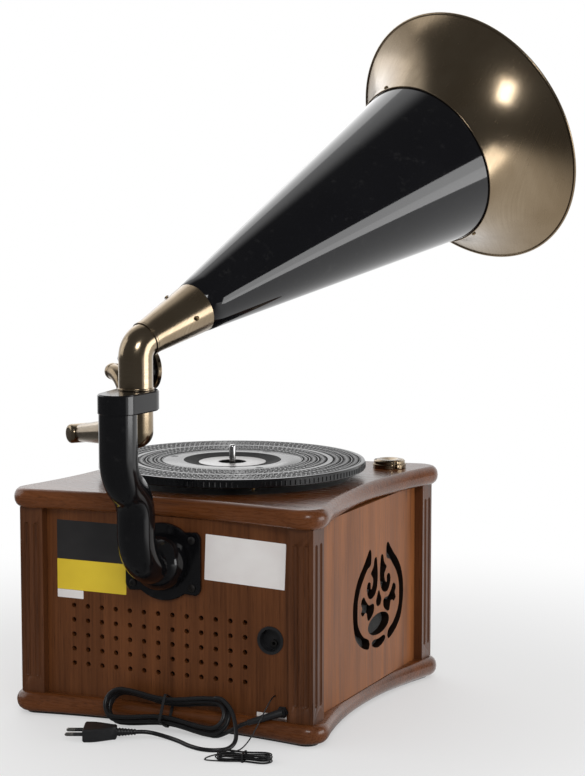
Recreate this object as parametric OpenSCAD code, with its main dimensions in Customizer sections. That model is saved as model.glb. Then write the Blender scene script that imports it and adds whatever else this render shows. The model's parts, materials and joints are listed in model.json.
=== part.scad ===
// Horn gramophone: a fluted wooden cabinet with a record deck on top, a CD drawer and
// radio in the front, loudspeakers behind carved grilles, and a swivelling horn with a
// tapered tonearm carried by a curved bracket on the back.
// Origin on the floor under the record spindle. The front faces -Y, the back +Y.

/* [Cabinet] */
// Cabinet width across the corner posts
cab_w = 350; // [320:1:420]
// Cabinet depth across the corner posts
cab_d = 340; // [320:1:420]
// Height of the panels and posts between plinth and top
post_h = 205; // [190:1:260]
// Width of a square corner post
post_w = 28; // [22:1:36]
// Depth of the panels behind the face of the posts
recess = 10; // [4:0.5:14]
// Thickness of the back, front and side panels
panel_t = 9; // [6:0.5:12]
// Height of the plinth moulding
plinth_h = 21; // [16:1:30]
// Thickness of the top board
slab_h = 21; // [18:1:30]
// Overhang of top and plinth past the posts
overhang = 11; // [6:0.5:16]
// Radius of the blunt corners of top and plinth
corner_r = 24; // [18:1:30]
// Depth of the curve of the left and right edges at their middle
waist_side = 21; // [8:1:24]
// Depth of the curve of the back and front edges at their middle
waist_back = 15; // [8:1:20]
// Depth of the rounded nose of the mouldings
nose = 8; // [4:0.5:10]
// Thickness of the felt strip that the plinth stands on
felt_t = 3; // [2:0.5:6]
// Thickness of the bottom board
bottom_t = 5; // [3:0.5:8]
// Radius of a flute in the posts
flute_r = 3.6; // [2.5:0.1:4.5]
// Distance of the two flutes from the middle of a post face
flute_off = 6; // [4.5:0.5:8]
// Distance of the ends of the flutes from the ends of the post
flute_stop = 16; // [10:1:40]

/* [Vents and sockets] */
// Diameter of a vent hole
vent_d = 5.5; // [3:0.5:8]
// Number of vent holes in a row
vent_nx = 13; // [3:1:14]
// Number of rows of vent holes
vent_nz = 5; // [2:1:6]
// Pitch of the vent holes along a row
vent_px = 17.2; // [10:0.1:18]
// Pitch of the rows of vent holes
vent_pz = 16; // [10:0.5:17]
// Middle of the vent holes from the middle of the back
vent_x = 11; // [0:0.5:14]
// Height of the middle of the vent holes
vent_z = 91; // [85:1:100]
// Diameter of the recessed line socket
socket_d = 24; // [18:1:30]
// Depth of the recess of the line socket
socket_deep = 10; // [6:0.5:14]

/* [Grille] */
// Distance of the middle of the grilles in front of the middle of the cabinet
grille_y = 33; // [0:1:36]
// Height of the middle of the grilles
grille_z = 115; // [110:1:130]
// Diameter of the loudspeaker frame
speaker_d = 134; // [120:1:150]
// Depth of the loudspeaker
speaker_deep = 44; // [30:1:46]

/* [Turntable] */
// Diameter of the platter
platter_d = 300; // [280:1:306]
// Height of the platter top above the top board
platter_lift = 19; // [17:0.5:26]
// Height of the platter rim
rim_h = 9.5; // [6:0.5:12]
// Number of grip ribs round the platter rim
rim_ribs = 120; // [60:1:144]
// Diameter of the record spindle
spindle_d = 7.2; // [7.1:0.05:7.25]
// Height of the spindle above the platter top
spindle_up = 16.5; // [12:0.5:24]
// Outer diameter of the belt rim under the platter
belt_rim_d = 170; // [150:1:176]
// Diameter of the motor pulley
pulley_d = 10.8; // [8:0.1:14]
// Distance from the spindle to the motor shaft
motor_reach = 105; // [102:0.5:106]
// Direction of the motor from the spindle
motor_turn = 128; // [100:1:200]
// Diameter of the 45 adapter
adapter_d = 38.1; // [37:0.1:38.2]
// Height of the 45 adapter
adapter_h = 10; // [6:0.5:12]

/* [Bracket] */
// Distance of the bracket from the middle of the back
bracket_x = 3; // [-20:1:20]
// Height of the bracket flange
flange_z = 181; // [170:1:184]
// Radius of the bracket flange
flange_r = 42; // [38:0.5:44]
// Thickness of the bracket flange
flange_t = 5; // [3:0.5:8]
// Distance between the flange screws along the back
screw_px = 70.6; // [60:0.2:76]
// Distance between the flange screws in height
screw_pz = 51; // [40:0.5:56]
// Outer radius of the bracket tube
tube_r = 20; // [20:0.5:22]
// Radius of the boss where the tube leaves the flange
boss_r = 31; // [26:0.5:32]
// Bend radius of the lower elbow
elbow_bend = 40; // [36:1:44]
// Distance of the lower tube from the back panel
low_out = 62; // [60:1:70]
// Distance of the upper tube from the back panel
high_out = 98.2; // [98.2:0.1:104]
// Height of the bottom of the double bend above the flange
sway_z0 = 56; // [50:1:60]
// Height of the top of the double bend above the flange
sway_z1 = 124; // [118:1:130]
// Height of the top of the bracket above the flange
bracket_up = 190; // [184:1:210]
// Height of the clamp that holds horn and tonearm
clamp_h = 21; // [18:1:28]
// Radius of the clamp round the horn tube
clamp_r = 24; // [22:0.5:26]

/* [Horn] */
// Distance of the horn axis from the back panel
pivot_out = 60; // [58:1:64]
// Outer radius of the horn tube and the tonearm tube
pipe_r = 17.85; // [15:0.05:19]
// Wall of the horn tube
pipe_wall = 1.2; // [0.8:0.1:2]
// Height of the bend of the horn above the clamp
bend_up = 46; // [42:1:60]
// Bend radius of the horn tube
horn_bend = 19; // [18.9:0.1:24]
// Angle of the horn above the level
horn_rise = 22; // [12:1:35]
// Turn of the horn from straight ahead
horn_yaw = 20.4; // [-30:0.1:30]
// Length from the bend to the joint of throat and cone
throat_s = 90; // [70:1:110]
// Radius of the horn at the joint of throat and cone
throat_r = 27.6; // [24:0.1:32]
// Length from the bend to the joint of cone and bell
cone_s = 477; // [420:1:520]
// Radius of the horn at the joint of cone and bell
cone_r = 95.7; // [80:0.1:100]
// Length from the bend to the rim of the bell
bell_s = 565; // [550:1:600]
// Radius of the rim of the bell
bell_r = 155.5; // [140:0.5:170]
// Thickness of the sheet of the horn
sheet = 1; // [0.6:0.1:1.6]
// Overlap where two parts of the horn slide into each other
lap = 10; // [6:1:16]

/* [Tonearm] */
// Turn of the parked tonearm from straight ahead
arm_park = 54.5; // [48:0.5:60]
// Distance from the pivot to the tip of the tonearm
arm_reach = 142; // [136:1:150]
// Height of the elbow of the tonearm below the top of the clamp
arm_drop = 43; // [41:1:48]
// Fall of the tonearm from its elbow to its tip
arm_fall = 19; // [10:1:24]
// Radius of the tip of the tonearm
arm_tip_r = 9; // [8:0.5:11]
// Radius of the tube of the gooseneck
neck_r = 8.5; // [7:0.5:9]
// Distance of the gooseneck beside the tonearm
neck_off = 23; // [22:0.5:26]
// Distance of the sound box back from the tip of the tonearm
box_back = 39; // [36:1:44]
// Height of the sound box above the tip of the tonearm
box_up = 70; // [66:1:74]
// Radius of the sound box drum
drum_r = 18; // [15:0.5:20]
// Length of the sound box drum
drum_len = 23; // [18:0.5:28]
// Radius of the rim of the sound box
box_rim_r = 22; // [20:0.5:25]
// Distance from the middle of the sound box to the stylus tip
stylus_reach = 38; // [32:0.5:42]

/* [Front] */
// Width of the dial window
dial_w = 140; // [110:1:160]
// Height of the dial window
dial_h = 38; // [28:1:44]
// Height of the middle of the dial window
dial_z = 188; // [180:1:192]
// Width of the CD drawer
drawer_w = 148; // [140:1:160]
// Height of the CD drawer front
drawer_h = 24; // [22:0.5:30]
// Height of the middle of the CD drawer
drawer_z = 128; // [120:1:136]
// Travel of the CD drawer
drawer_travel = 138; // [136:1:150]
// Diameter of a compact disc with its clearance
disc_d = 122; // [121:0.5:124]
// Diameter of the two large knobs
knob_d = 34; // [26:1:40]
// Length of a knob
knob_len = 18; // [12:0.5:24]
// Distance of the knobs from the middle of the front
knob_x = 112; // [105:1:118]
// Diameter of a push button
button_d = 12; // [8:0.5:16]
// Distance between the push buttons
button_pitch = 34; // [24:1:44]
// Height of the push buttons
button_z = 74; // [60:1:90]
// Distance that a push button stands out
button_out = 4; // [3:0.5:6]

/* [Clearances] */
// Running clearance of a shaft in its bore, on the radius
run_gap = 0.05; // [0.02:0.01:0.08]
// Clearance between pieces that move past each other
free_gap = 0.4; // [0.3:0.1:1]
// Clearance between pieces that sit in each other
seat_gap = 0.2; // [0.1:0.05:0.4]

/* [Hidden] */
$fn = 64;

// Heights of the cabinet
plinth_z = felt_t;
post_z = plinth_z + plinth_h;
slab_z = post_z + post_h;
deck_z = slab_z + slab_h;

// Faces of the cabinet
half_w = cab_w / 2 + overhang;
half_d = cab_d / 2 + overhang;
side_x = cab_w / 2 - recess;
back_y = cab_d / 2 - recess;
front_y = -back_y;
in_x = side_x - panel_t;
in_y = back_y - panel_t;
post_in_x = cab_w / 2 - post_w;
post_in_y = cab_d / 2 - post_w;
rebate = 4;
frame_in_x = in_x - 18;
frame_in_y = in_y - 18;
bottom_z = plinth_z + 6;
floor_z = bottom_z + bottom_t;

// Turntable
well_r = 122;
plate_r = 132;
plate_t = 2;
plate_z = deck_z - plate_t;
platter_z = deck_z + platter_lift;
platter_r = platter_d / 2;
disc_t = 3;
mat_t = 1.2;
disc_z = platter_z - mat_t;
spindle_r = spindle_d / 2;
axle_r = spindle_r + 0.9;
bush_r = 11;
bush_top = deck_z + 1.6;
bush_low = deck_z - 42;
belt_r = belt_rim_d / 2;
belt_h = 4;
belt_t = 0.8;
belt_z = deck_z + 6;
pulley_r = pulley_d / 2;
motor_r = 15.5;
motor_h = 24;
shaft_r = 1;
rim_z = platter_z - rim_h;

// Bracket and horn heights
tube_top = flange_z + bracket_up;
clamp_z = tube_top - clamp_h;
web_z0 = clamp_z + 8.5;
web_z1 = web_z0 + 3.5;
low_y = back_y + low_out;
high_y = back_y + high_out;
pivot_y = back_y + pivot_out;
bend_z = tube_top + bend_up;
stud_r = 5;

// Tonearm
elbow_z = tube_top - arm_drop;
tip_z = elbow_z - arm_fall;
arm_len = sqrt(arm_reach * arm_reach + arm_fall * arm_fall);
arm_slope = atan(arm_fall / arm_reach);
arm_root_r = pipe_r - 0.5;
barrel_r = 10.5;
barrel_x0 = barrel_r + 1.3;
barrel_x1 = neck_off + neck_r + 1;
journal_r = 6;
box_x0 = neck_off + neck_r * 2.4;
box_x1 = box_x0 + drum_len;
rim_t = 5;

// Front
drawer_t = 4;
button_r = button_d / 2;
button_n = 4;
button_travel = 2.5;
pot_r = 8.5;
knob_shaft_r = 3;
rail_r = 1.5;
rail_y = front_y + panel_t + 5;
rail_z = dial_z - dial_h / 2 - 4;
pointer_travel = dial_w / 2 - 12;

// Cord sizes
mains_r = 2.25;
wire_r = 0.7;

// Closed smooth curve through a few points, for the carved openings
function mid4(a, b, c, d, t) =
  0.5 * ((2 * b) + (c - a) * t + (2 * a - 5 * b + 4 * c - d) * t * t
  + (3 * b - a - 3 * c + d) * t * t * t);
function loop_curve(p, n) =
  [for (i = [0 : len(p) - 1]) for (k = [0 : n - 1])
    mid4(p[(i + len(p) - 1) % len(p)], p[i], p[(i + 1) % len(p)], p[(i + 2) % len(p)], k / n)];
function mirrored(p) = [for (q = p) [-q[0], q[1]]];

// Outline of top and plinth, drawn in by a margin: round corners joined by hollow sides
function span(half, waist) = (half * half + waist * waist) / (2 * waist);
function arc(c, r, a0, a1, n) =
  [for (i = [0 : n]) c + r * [cos(a0 + (a1 - a0) * i / n), sin(a0 + (a1 - a0) * i / n)]];
function outline(margin) =
  let (cx = half_w - corner_r, cy = half_d - corner_r,
    qb = span(cx, waist_back), qs = span(cy, waist_side),
    tb = asin(cx / qb), ts = asin(cy / qs), r = corner_r - margin,
    rb = qb - corner_r + margin, rs = qs - corner_r + margin,
    yb = half_d - corner_r - waist_back + qb, xs = half_w - corner_r - waist_side + qs)
  concat(
    arc([cx, cy], r, -ts, 90 + tb, 8),
    [for (i = [1 : 11]) let (a = -90 + tb - 2 * tb * i / 12) [rb * cos(a), yb + rb * sin(a)]],
    arc([-cx, cy], r, 90 - tb, 180 + ts, 8),
    [for (i = [1 : 11]) let (a = ts - 2 * ts * i / 12) [-xs + rs * cos(a), rs * sin(a)]],
    arc([-cx, -cy], r, 180 - ts, 270 + tb, 8),
    [for (i = [1 : 11]) let (a = 90 + tb - 2 * tb * i / 12) [rb * cos(a), -yb + rb * sin(a)]],
    arc([cx, -cy], r, 270 - tb, 360 + ts, 8),
    [for (i = [1 : 11]) let (a = 180 + ts - 2 * ts * i / 12) [xs + rs * cos(a), rs * sin(a)]]);

// Solid through a stack of outlines, each given as height and margin
module moulding(levels) {
  rings = [for (l = levels) [for (p = outline(l[1])) [p[0], p[1], l[0]]]];
  n = len(rings[0]);
  m = len(rings);
  points = [for (r = rings) for (p = r) p];
  walls = [for (j = [0 : m - 2]) for (i = [0 : n - 1])
    [j * n + i, (j + 1) * n + i, (j + 1) * n + (i + 1) % n, j * n + (i + 1) % n]];
  polyhedron(points, concat(walls, [[for (i = [0 : n - 1]) i]],
    [[for (i = [n - 1 : -1 : 0]) (m - 1) * n + i]]), convexity = 6);
}

// Half round nose of a board
function nosed(z, h, n) =
  [for (k = [0 : n]) let (a = -90 + 180 * k / n) [z + h / 2 + h / 2 * sin(a), nose * (1 - cos(a))]];

// Tube swept along points, with a frame carried along it so that it never twists
function unit(v) = v / norm(v);
function heading(p, i) =
  i == 0 ? unit(p[1] - p[0])
  : i == len(p) - 1 ? unit(p[i] - p[i - 1])
  : unit(p[i + 1] - p[i - 1]);
function across(v, t) = unit(v - (v * t) * t);
function carried(p, first) =
  [for (i = 0, v = across(first, heading(p, 0)); i < len(p);
    i = i + 1, v = i < len(p) ? across(v, heading(p, i)) : v) v];
function smooth_route(p, n) =
  [for (i = [0 : len(p) - 2]) for (k = [0 : i == len(p) - 2 ? n : n - 1])
    mid4(p[max(i - 1, 0)], p[i], p[i + 1], p[min(i + 2, len(p) - 1)], k / n)];
module tube_along(p, r, sides, first = [0, 0, 1]) {
  side = carried(p, first);
  m = len(p);
  points = [for (i = [0 : m - 1]) let (t = heading(p, i), u = side[i], w = cross(t, u))
    for (k = [0 : sides - 1]) p[i] + r * (cos(360 * k / sides) * u + sin(360 * k / sides) * w)];
  walls = [for (i = [0 : m - 2]) for (k = [0 : sides - 1])
    let (a = i * sides + k, b = i * sides + (k + 1) % sides)
    each [[a, b + sides, b], [a, a + sides, b + sides]]];
  caps = [for (k = [1 : sides - 2]) each [[0, k, k + 1],
    [(m - 1) * sides, (m - 1) * sides + k + 1, (m - 1) * sides + k]]];
  polyhedron(points, concat(walls, caps), convexity = 10);
}

// Rounded rectangle standing in the front, as a flat shape
module round_rect(w, h, r) {
  polygon(concat(arc([w / 2 - r, h / 2 - r], r, 0, 90, 4), arc([r - w / 2, h / 2 - r], r, 90, 180, 4),
    arc([r - w / 2, r - h / 2], r, 180, 270, 4), arc([w / 2 - r, r - h / 2], r, 270, 360, 4)));
}

// Puts a flat shape upright, facing the front or back, at a depth y
module upright(x, y, z, t) {
  translate([x, y, z]) rotate([90, 0, 0]) translate([0, 0, -t]) linear_extrude(t) children();
}

// Ring between two radii
module ring(r1, r2, z, h) {
  translate([0, 0, z]) difference() {
    cylinder(r = r1, h = h);
    translate([0, 0, -1]) cylinder(r = r2, h = h + 2);
  }
}

// Cabinet

module felt_strip() {
  color("#2b2b2b") linear_extrude(felt_t) difference() {
    polygon(outline(nose + 4));
    square([2 * (frame_in_x + rebate), 2 * (frame_in_y + rebate)], center = true);
  }
}

// Outline point number i pushed to the rectangle of half sizes hx and hy, with its corners kept
function squared(i, p, hx, hy) =
  i % 20 == 4 ? [sign(p[0]) * hx, sign(p[1]) * hy] :
  let (k = max(abs(p[0]) / hx, abs(p[1]) / hy)) [p[0] / k, p[1] / k];

// Closed rings of points: round the moulded outside, then down the opening and its rebate
module plinth() {
  edge = outline(0);
  outer = [for (l = nosed(plinth_z, plinth_h, 8)) [for (p = outline(l[1])) [p[0], p[1], l[0]]]];
  inner = [for (l = [[post_z, 0], [floor_z, 0], [floor_z, rebate], [plinth_z, rebate]])
    [for (i = [0 : len(edge) - 1]) let (q = squared(i, edge[i], frame_in_x + l[1], frame_in_y + l[1]))
      [q[0], q[1], l[0]]]];
  rings = concat(outer, inner);
  n = len(edge);
  m = len(rings);
  walls = [for (j = [0 : m - 1]) for (i = [0 : n - 1])
    [j * n + i, (j + 1) % m * n + i, (j + 1) % m * n + (i + 1) % n, j * n + (i + 1) % n]];
  color("#5a2f1b") polyhedron([for (r = rings) for (p = r) p], walls, convexity = 8);
}

module bottom_board() {
  color("#8a6a48") translate([-frame_in_x - rebate + seat_gap, -frame_in_y - rebate + seat_gap, bottom_z])
    cube([2 * (frame_in_x + rebate - seat_gap), 2 * (frame_in_y + rebate - seat_gap), bottom_t]);
}

// Half round groove with rounded ends, standing in a post face
module flute() {
  long = post_h - 2 * flute_stop;
  translate([0, 0, post_z + flute_stop]) rotate_extrude($fn = 32)
    polygon(concat(arc([0, flute_r], flute_r, -90, 0, 4), arc([0, long - flute_r], flute_r, 0, 90, 4)));
}

module post() {
  face = post_w / 2 + flute_r / 3;
  difference() {
    translate([-post_w / 2, -post_w / 2, post_z]) cube([post_w, post_w, post_h]);
    for (s = [-1, 1]) {
      translate([face, s * flute_off, 0]) flute();
      translate([s * flute_off, face, 0]) flute();
    }
  }
}

module corner_posts() {
  color("#5a2f1b") for (sx = [0, 1]) for (sy = [0, 1])
    mirror([sx, 0, 0]) mirror([0, sy, 0])
      translate([cab_w / 2 - post_w / 2, cab_d / 2 - post_w / 2, 0]) post();
}

socket_x = -121.7;
socket_z = 106.6;
cup_wall = 1.5;
wire_exit = [-126.8, back_y, 47.8];
wire_hole_r = wire_r + 0.3;
gland_off = 11;
gland_at = [gland_off - post_in_x, back_y, 31.6];
gland_hole_r = 5;

module back_panel() {
  color("#4a2a18") difference() {
    translate([-post_in_x, in_y, post_z]) cube([2 * post_in_x, panel_t, post_h]);
    for (i = [0 : vent_nx - 1]) for (j = [0 : vent_nz - 1])
      translate([vent_x + (i - (vent_nx - 1) / 2) * vent_px, back_y + 1,
          vent_z + (j - (vent_nz - 1) / 2) * vent_pz])
        rotate([90, 0, 0]) cylinder(d = vent_d, h = panel_t + 2, $fn = 24);
    translate([socket_x, back_y + 1, socket_z])
      rotate([90, 0, 0]) cylinder(r = socket_d / 2 + cup_wall + seat_gap, h = panel_t + 2);
    translate([wire_exit[0], back_y + 1, wire_exit[2]])
      rotate([90, 0, 0]) cylinder(r = wire_hole_r, h = panel_t + 2, $fn = 24);
    translate([gland_at[0], back_y + 1, gland_at[2]])
      rotate([90, 0, 0]) cylinder(r = gland_hole_r, h = panel_t + 2, $fn = 32);
  }
}

module front_panel() {
  color("#5a2f1b") difference() {
    translate([-post_in_x, front_y, post_z]) cube([2 * post_in_x, panel_t, post_h]);
    upright(0, front_y - 1, dial_z, panel_t + 2) round_rect(dial_w, dial_h, 6);
    upright(0, front_y - 1, drawer_z, panel_t + 2)
      square([drawer_w + 2 * free_gap, drawer_h + 2 * free_gap], center = true);
    for (s = [-1, 1]) translate([s * knob_x, front_y - 1, dial_z])
      rotate([-90, 0, 0]) cylinder(r = knob_shaft_r + 0.5, h = panel_t + 2, $fn = 32);
    for (i = [0 : button_n - 1]) translate([button_x(i), front_y - 1, button_z])
      rotate([-90, 0, 0]) cylinder(r = button_r + free_gap, h = panel_t + 2);
  }
}
function button_x(i) = (i - (button_n - 1) / 2) * button_pitch;

// Carved openings of a side panel, measured from the middle of the grille
arm_cut = [[29, 61], [33, 57], [43, 48], [57, 37], [67, 25], [73, 10], [74, -5], [71, -20], [66, -31],
  [55, -40], [43, -46], [33, -49], [29, -49], [26, -45], [28, -40], [33, -37], [43, -33], [53, -25],
  [60, -15], [61, -3], [60, 10], [53, 23], [43, 33], [33, 41], [23, 45], [22, 57], [25, 62]];
foot_cut = [[20, -45], [14, -42], [0, -43], [-14, -42], [-20, -45], [-17, -49], [-8, -52], [0, -53],
  [8, -52], [17, -49]];
drop_cut = [[0, 12], [5, 6], [8, 0], [5, -5], [0, -6], [-5, -5], [-8, 0], [-5, 6]];
leaf_cut = [[51, 5], [49, 10], [43, 12], [38, 7], [33, 3], [28, 0], [21, 0], [15, -1], [13, -5],
  [15, -10], [20, -14], [27, -17], [32, -16], [34, -11], [36, -7], [41, -7], [44, -9], [48, -8],
  [51, -5], [48, 0]];
flame_cut = [[13, 49], [9, 51], [6, 49], [4, 40], [3, 30], [4, 20], [7, 13], [13, 8], [22, 6], [29, 8],
  [33, 13], [35, 19], [33, 24], [29, 26], [24, 24], [23, 17], [19, 19], [17, 23], [17, 28], [21, 32],
  [23, 35], [18, 39], [15, 43]];
oval_r = [31, 12];
oval_z = -26;

module grille_cuts() {
  for (p = [arm_cut, leaf_cut, flame_cut]) {
    polygon(loop_curve(p, 3));
    polygon(loop_curve(mirrored(p), 3));
  }
  polygon(loop_curve(foot_cut, 3));
  polygon(loop_curve(drop_cut, 3));
  polygon([for (a = [0 : 12 : 359]) [oval_r[0] * cos(a), oval_z + oval_r[1] * sin(a)]]);
}

module side_panel() {
  difference() {
    translate([in_x, -post_in_y, post_z]) cube([panel_t, 2 * post_in_y, post_h]);
    translate([in_x - 1, -grille_y, grille_z]) rotate([90, 0,
        90]) linear_extrude(panel_t + 2) grille_cuts();
  }
}

module left_panel() {
  color("#6b3a20") side_panel();
}

module right_panel() {
  color("#6b3a20") mirror([1, 0, 0]) side_panel();
}

cloth_t = 1;
cloth_w = 168;
cloth_h = 128;
cloth_up = 2;

module speaker_cloths() {
  color("#1d1a18") for (s = [0, 1]) mirror([s, 0, 0])
    translate([in_x - cloth_t, -grille_y - cloth_w / 2, grille_z + cloth_up - cloth_h / 2])
      cube([cloth_t, cloth_w, cloth_h]);
}

module loudspeakers() {
  r = speaker_d / 2;
  color("#333333") for (s = [0, 1]) mirror([s, 0, 0])
    translate([in_x - cloth_t, -grille_y, grille_z]) rotate([0, -90, 0]) rotate_extrude()
      polygon([[r - 12, 0], [r, 0], [r, 4], [r - 5, 4], [r * 0.45, speaker_deep - 17], [r * 0.45,
          speaker_deep],
        [0, speaker_deep], [0, 12], [r * 0.2, 14]]);
}

module top_board() {
  color("#5a2f1b") difference() {
    moulding(nosed(slab_z, slab_h, 8));
    translate([0, 0, slab_z - 1]) cylinder(r = well_r, h = slab_h + 2);
    translate([0, 0, plate_z]) cylinder(r = plate_r + seat_gap, h = plate_t + 1);
  }
}

// Turntable

motor_at = [motor_reach * cos(motor_turn), motor_reach * sin(motor_turn)];

module motor_plate() {
  color("#3a3a3a") difference() {
    translate([0, 0, plate_z]) cylinder(r = plate_r, h = plate_t);
    translate([0, 0, plate_z - 1]) cylinder(r = bush_r - 3, h = plate_t + 2);
    translate([motor_at[0], motor_at[1], plate_z - 1]) cylinder(r = shaft_r + 3, h = plate_t + 2, $fn = 32);
  }
}

module platter_bearing() {
  color("#b8924a") rotate_extrude()
    polygon([[axle_r + run_gap, bush_low], [bush_r - 3.2, bush_low], [bush_r - 3.2, plate_z - 4],
      [bush_r + 4, plate_z - 4], [bush_r + 4, plate_z], [bush_r - 3.2, plate_z], [bush_r - 3.2, bush_top],
      [axle_r + run_gap, bush_top]]);
}

module drive_motor() {
  color("#9a9a9a") translate([motor_at[0], motor_at[1], plate_z - motor_h]) difference() {
    cylinder(r = motor_r, h = motor_h);
    translate([0, 0, motor_h - 12]) cylinder(r = shaft_r + run_gap, h = 14, $fn = 32);
  }
}

pulley_low = deck_z + 1.2;

module motor_pulley() {
  color("#c9a45a") translate([motor_at[0], motor_at[1], 0]) {
    translate([0, 0, plate_z - 10]) cylinder(r = shaft_r, h = 11 + platter_lift / 2, $fn = 32);
    translate([0, 0, pulley_low]) cylinder(r = shaft_r + 1.5, h = 3, $fn = 32);
    translate([0, 0, belt_z - 1]) cylinder(r = pulley_r, h = belt_h + 2);
    translate([0, 0, belt_z - 1.8]) cylinder(r = pulley_r + 1.6, h = 0.8);
    translate([0, 0, belt_z + belt_h + 1]) cylinder(r = pulley_r + 1.6, h = 0.8);
  }
}

// Outline of the belt round rim and pulley, seen with the motor to the right
function belt_line(r) =
  let (a = acos((belt_r - pulley_r) / motor_reach))
  concat(arc([0, 0], belt_r + r, a, 360 - a, 56), arc([motor_reach, 0], pulley_r + r, -a, a, 10));

module drive_belt() {
  color("#151515") translate([0, 0, belt_z]) rotate([0, 0, motor_turn]) linear_extrude(belt_h) difference() {
    polygon(belt_line(0.3 + belt_t));
    polygon(belt_line(0.3));
  }
}

dish_r = 38.6;
dish_out = 54.1;
dish_z = platter_z - 3.4;
hub_r = 16;
under_z = disc_z - 4;
lip = 5;

module platter() {
  rib_a = 360 / rim_ribs;
  color("#1f1f22") {
    rotate_extrude($fn = 128)
      polygon([[axle_r + 0.02, deck_z + 2.3], [hub_r, deck_z + 2.3], [hub_r, under_z], [belt_r - 3,
          under_z],
        [belt_r - 3, belt_z - 1.5], [belt_r, belt_z - 1.5], [belt_r, under_z], [platter_r - lip, under_z],
        [platter_r - lip, disc_z], [dish_out + 0.2, disc_z], [dish_out + 0.2, platter_z],
            [dish_out - 0.6, platter_z],
        [dish_r, dish_z], [hub_r - 1.5, dish_z], [hub_r - 1.5, dish_z - 2.1], [axle_r + 0.02,
            dish_z - 2.1]]);
    translate([0, 0, rim_z]) linear_extrude(rim_h) difference() {
      polygon([for (i = [0 : rim_ribs - 1]) each
        [for (k = [[0.22, 0], [0.44, 0.9], [0.56, 0.9], [0.78, 0]])
          (platter_r - k[1]) * [cos((i + k[0]) * rib_a), sin((i + k[0]) * rib_a)]]]);
      circle(r = platter_r - lip - 0.01, $fn = 128);
    }
  }
}

mat_ribs = [78.7, 87.5, 97, 112, 124.4, 135, 142];

module platter_mat() {
  r1 = dish_out + 0.5;
  r2 = platter_r - lip - 0.3;
  top = platter_z;
  color("#101012") difference() {
    rotate_extrude($fn = 128)
      polygon(concat([[r1, disc_z], [r2, disc_z], [r2, top]],
        [for (i = [len(mat_ribs) - 1 : -1 : 0]) each
          [[mat_ribs[i] + 1.2, top], [mat_ribs[i], top - 0.6], [mat_ribs[i] - 1.2, top]]],
        [[r1, top]]));
    for (a = [30, 150, 270]) rotate([0, 0, a]) translate([66, 0, top - 0.7])
      linear_extrude(1) polygon(concat(arc([0, 9], 3, 0, 180, 6), arc([0, -9], 3, 180, 360, 6)));
  }
}

module hub_disc() {
  color("#8d8f92") difference() {
    translate([0, 0, dish_z]) cylinder(r = dish_r - 0.8, h = 0.8);
    translate([0, 0, dish_z - 1]) cylinder(r = hub_r - 0.5, h = 3);
  }
}

module spindle() {
  tip = platter_z + spindle_up;
  color("#cfd2d6") rotate_extrude()
    polygon(concat([[0, bush_low - 3], [axle_r, bush_low - 3], [axle_r, dish_z - 2.1], [spindle_r,
        dish_z - 2.1],
      [spindle_r, tip - spindle_r]],
      arc([0, tip - spindle_r], spindle_r, 15, 90, 5)));
}

adapter_at = [-138, -130];

module adapter_45() {
  r = adapter_d / 2;
  color("#b08d4a") translate([adapter_at[0], adapter_at[1], deck_z]) difference() {
    rotate_extrude() polygon([[0, 0], [r, 0], [r, adapter_h * 0.45], [r - 1, adapter_h * 0.5],
      [r - 1, adapter_h * 0.6], [r - 3, adapter_h - 1], [r - 5, adapter_h], [0, adapter_h]]);
    translate([0, 0, -1]) cylinder(r = spindle_r + 0.1, h = adapter_h + 2);
    translate([0, 0, adapter_h - 2]) cylinder(r1 = 5, r2 = 9, h = 2.1);
  }
}

// Inside

trafo = [66, 55, 52];
trafo_wall = 15;
trafo_at = [frame_in_x - trafo_wall - trafo[0] / 2, 60];
board_wall = 6;
board_gap = 29;
board_left = board_wall - frame_in_x;
board_right = trafo_at[0] - trafo[0] / 2 - board_gap;
board = [board_right - board_left, 100, 1.6];
board_at = [(board_left + board_right) / 2, 60];
board_up = 8;
board_edge = 20;
cap_pitch = 26;
cap_in = 26;
sink = [60, 20, 12];

module transformer() {
  color("#55504a") translate([trafo_at[0], trafo_at[1], floor_z]) {
    translate([-trafo[0] / 2, -trafo[1] / 2, 0]) cube([trafo[0], trafo[1], 3]);
    translate([-trafo[0] / 2 + 6, -trafo[1] / 2 + 8, 3]) cube([trafo[0] - 12, trafo[1] - 16, trafo[2] - 3]);
    translate([-trafo[0] / 2 + 16, -trafo[1] / 2, 10]) cube([trafo[0] - 32, trafo[1], trafo[2] - 20]);
  }
}

module main_board() {
  color("#2f6b3a") translate([board_at[0], board_at[1], floor_z]) {
    for (sx = [-1, 1]) for (sy = [-1, 1])
      translate([sx * (board[0] / 2 - 8), sy * (board[1] / 2 - 8), 0]) cylinder(r = 3, h = board_up,
          $fn = 32);
    translate([-board[0] / 2, -board[1] / 2, board_up]) cube(board);
    for (i = [0 : 3])
      translate([board_edge - board[0] / 2 + i * cap_pitch, board[1] / 2 - cap_in, board_up + board[2]])
        cylinder(r = 8, h = 22, $fn = 32);
    translate([2 * board_edge - board[0] / 2, board_edge - board[1] / 2, board_up + board[2]]) cube(sink);
  }
}

// CD drive: a case under the deck carried by a bracket from the front panel
tray_t = 13;
tray_w = drawer_w - 8;
tray_z = drawer_z - tray_t / 2 - 1;
tray_len = drawer_travel + 28;
tray_mid = disc_d / 2 + 11;
case_w = tray_w + 14;
case_h = 36;
case_z = tray_z - 18;
case_len = tray_len + 8;
disc_deep = 6;

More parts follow.
